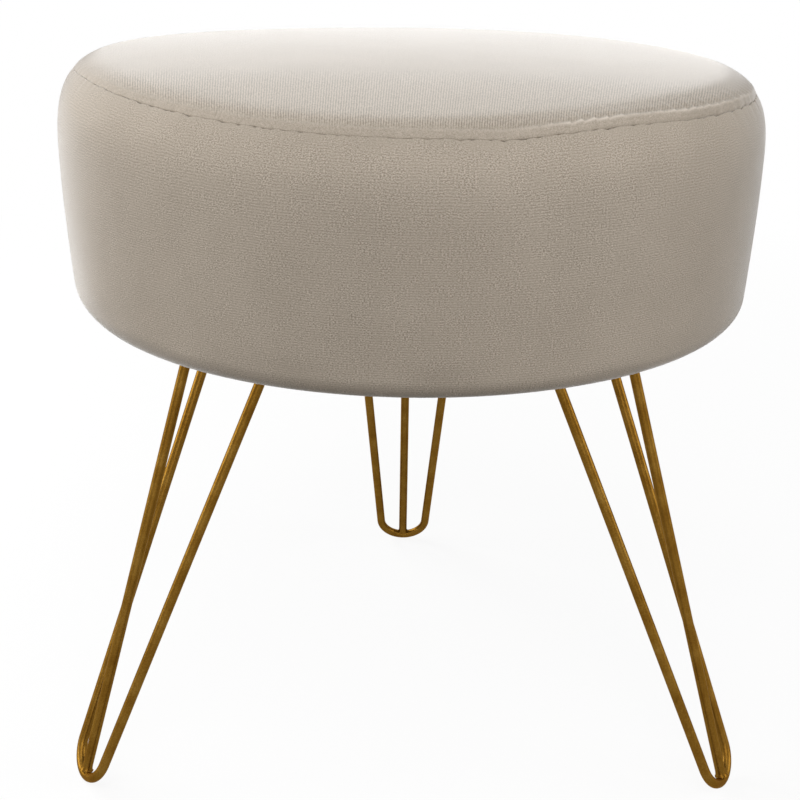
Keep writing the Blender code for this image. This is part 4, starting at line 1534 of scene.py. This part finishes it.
def camera():
    """The photograph's view."""
    data = bpy.data.cameras.new("camera")
    data.sensor_width = 36
    data.lens = CAMERA_LENS
    data.clip_end = 50
    eye = add(bpy.data.objects.new("camera", data))
    turn = Matrix.Rotation(CAMERA_ROUND, 4, "Z")
    place = AXIS + turn @ Vector((0, -CAMERA_DISTANCE, CAMERA_HEIGHT))
    ahead = Vector(
        (
            math.sin(CAMERA_YAW) * math.cos(CAMERA_PITCH),
            math.cos(CAMERA_YAW) * math.cos(CAMERA_PITCH),
            -math.sin(CAMERA_PITCH),
        )
    )
    right = ahead.cross(Vector((0, 0, 1))).normalized()
    up = right.cross(ahead)
    rolled_right = right * math.cos(CAMERA_ROLL) + up * math.sin(CAMERA_ROLL)
    rolled_up = up * math.cos(CAMERA_ROLL) - right * math.sin(CAMERA_ROLL)
    turned = Matrix((rolled_right, rolled_up, -ahead)).transposed().to_4x4()
    eye.matrix_world = Matrix.Translation(place) @ turned
    bpy.context.scene.camera = eye


def seen_directly(tree):
    """1 where the camera, or a mirror or glass, looks at a surface, and 0 where it only lights others."""
    ray = node_in(tree, "ShaderNodeLightPath").outputs
    either = maths(tree, "MAXIMUM", ray["Is Camera Ray"], ray["Is Glossy Ray"])
    return maths(tree, "MAXIMUM", either, ray["Is Transmission Ray"])


def floor():
    """A wide pale floor that keeps a soft shadow."""
    mesh = bpy.data.meshes.new("floor")
    corners = [(x * FLOOR_HALF, y * FLOOR_HALF, 0) for x, y in ((-1, -1), (1, -1), (1, 1), (-1, 1))]
    mesh.from_pydata(corners, [], [(0, 1, 2, 3)])
    plane = add(bpy.data.objects.new("floor", mesh))
    plane.location.z = FLOOR_Z
    material, tree, shader = new_finish("pale floor", {"Roughness": 0.9, "Specular IOR Level": 0.1})
    seen = seen_directly(tree)
    coloured(tree, shader, mixed(tree, seen, FLOOR_LIT, FLOOR_SEEN))
    source = node_in(tree, "ShaderNodeTexCoord").outputs["Object"]
    reach = node_in(tree, "ShaderNodeVectorMath", {0: source}, operation="LENGTH").outputs["Value"]
    share = maths(tree, "MULTIPLY", seen, ranged(tree, reach, *FLOOR_SHADOW, least=FLOOR_GLOW))
    glow = node_in(tree, "ShaderNodeEmission", {"Color": (1, 1, 1, 1), "Strength": 1.0}).outputs[0]
    either = node_in(tree, "ShaderNodeMixShader", {0: share, 1: shader.outputs[0], 2: glow}).outputs[0]
    output = next(node for node in tree.nodes if node.type == "OUTPUT_MATERIAL")
    tree.links.new(either, output.inputs["Surface"])
    dress(plane, material)


def lamp(name, place, size, power):
    """A soft square lamp aimed at the seat."""
    data = bpy.data.lights.new(name, "AREA")
    data.shape = "SQUARE"
    data.size = size
    data.energy = power
    made = add(bpy.data.objects.new(name, data))
    made.location = place
    made.rotation_euler = (LAMP_AIM - Vector(place)).to_track_quat("-Z", "Y").to_euler()


def studio():
    """Soft light from the front and both sides, more from the left than the right, in a dim pale room."""
    for name, place, size, power in LAMPS:
        lamp(name, place, size, power)
    world = bpy.data.worlds.new("studio")
    bpy.context.scene.world = world
    world.use_nodes = True
    tree = world.node_tree
    glow = next(node for node in tree.nodes if node.type == "BACKGROUND")
    glow.inputs["Color"].default_value = (1, 1, 1, 1)
    strength = ranged(tree, seen_directly(tree), 0, 1, least=ROOM_LIGHT)
    tree.links.new(strength, glow.inputs["Strength"])
    bpy.context.scene.view_settings.view_transform = "Standard"


def main():
    """Make the scene and every piece."""
    camera()
    studio()
    floor()
    gold = satin_gold()
    zinc = bright_zinc()
    repeats = repeat_tree()
    side_band(suede_band())
    top_panel(suede_top())
    seam_stitches(stitch_tree(), dark_thread_and_groove_shade())
    leg_rods(rod_tree(), gold)
    weld_beads(repeats, weld_gold())
    leg_plates(gold)
    leg_screws(repeats, zinc)
    dust_cloth(black_non_woven())
    staples(repeats, zinc)
    inner_finishes(zinc)


main()
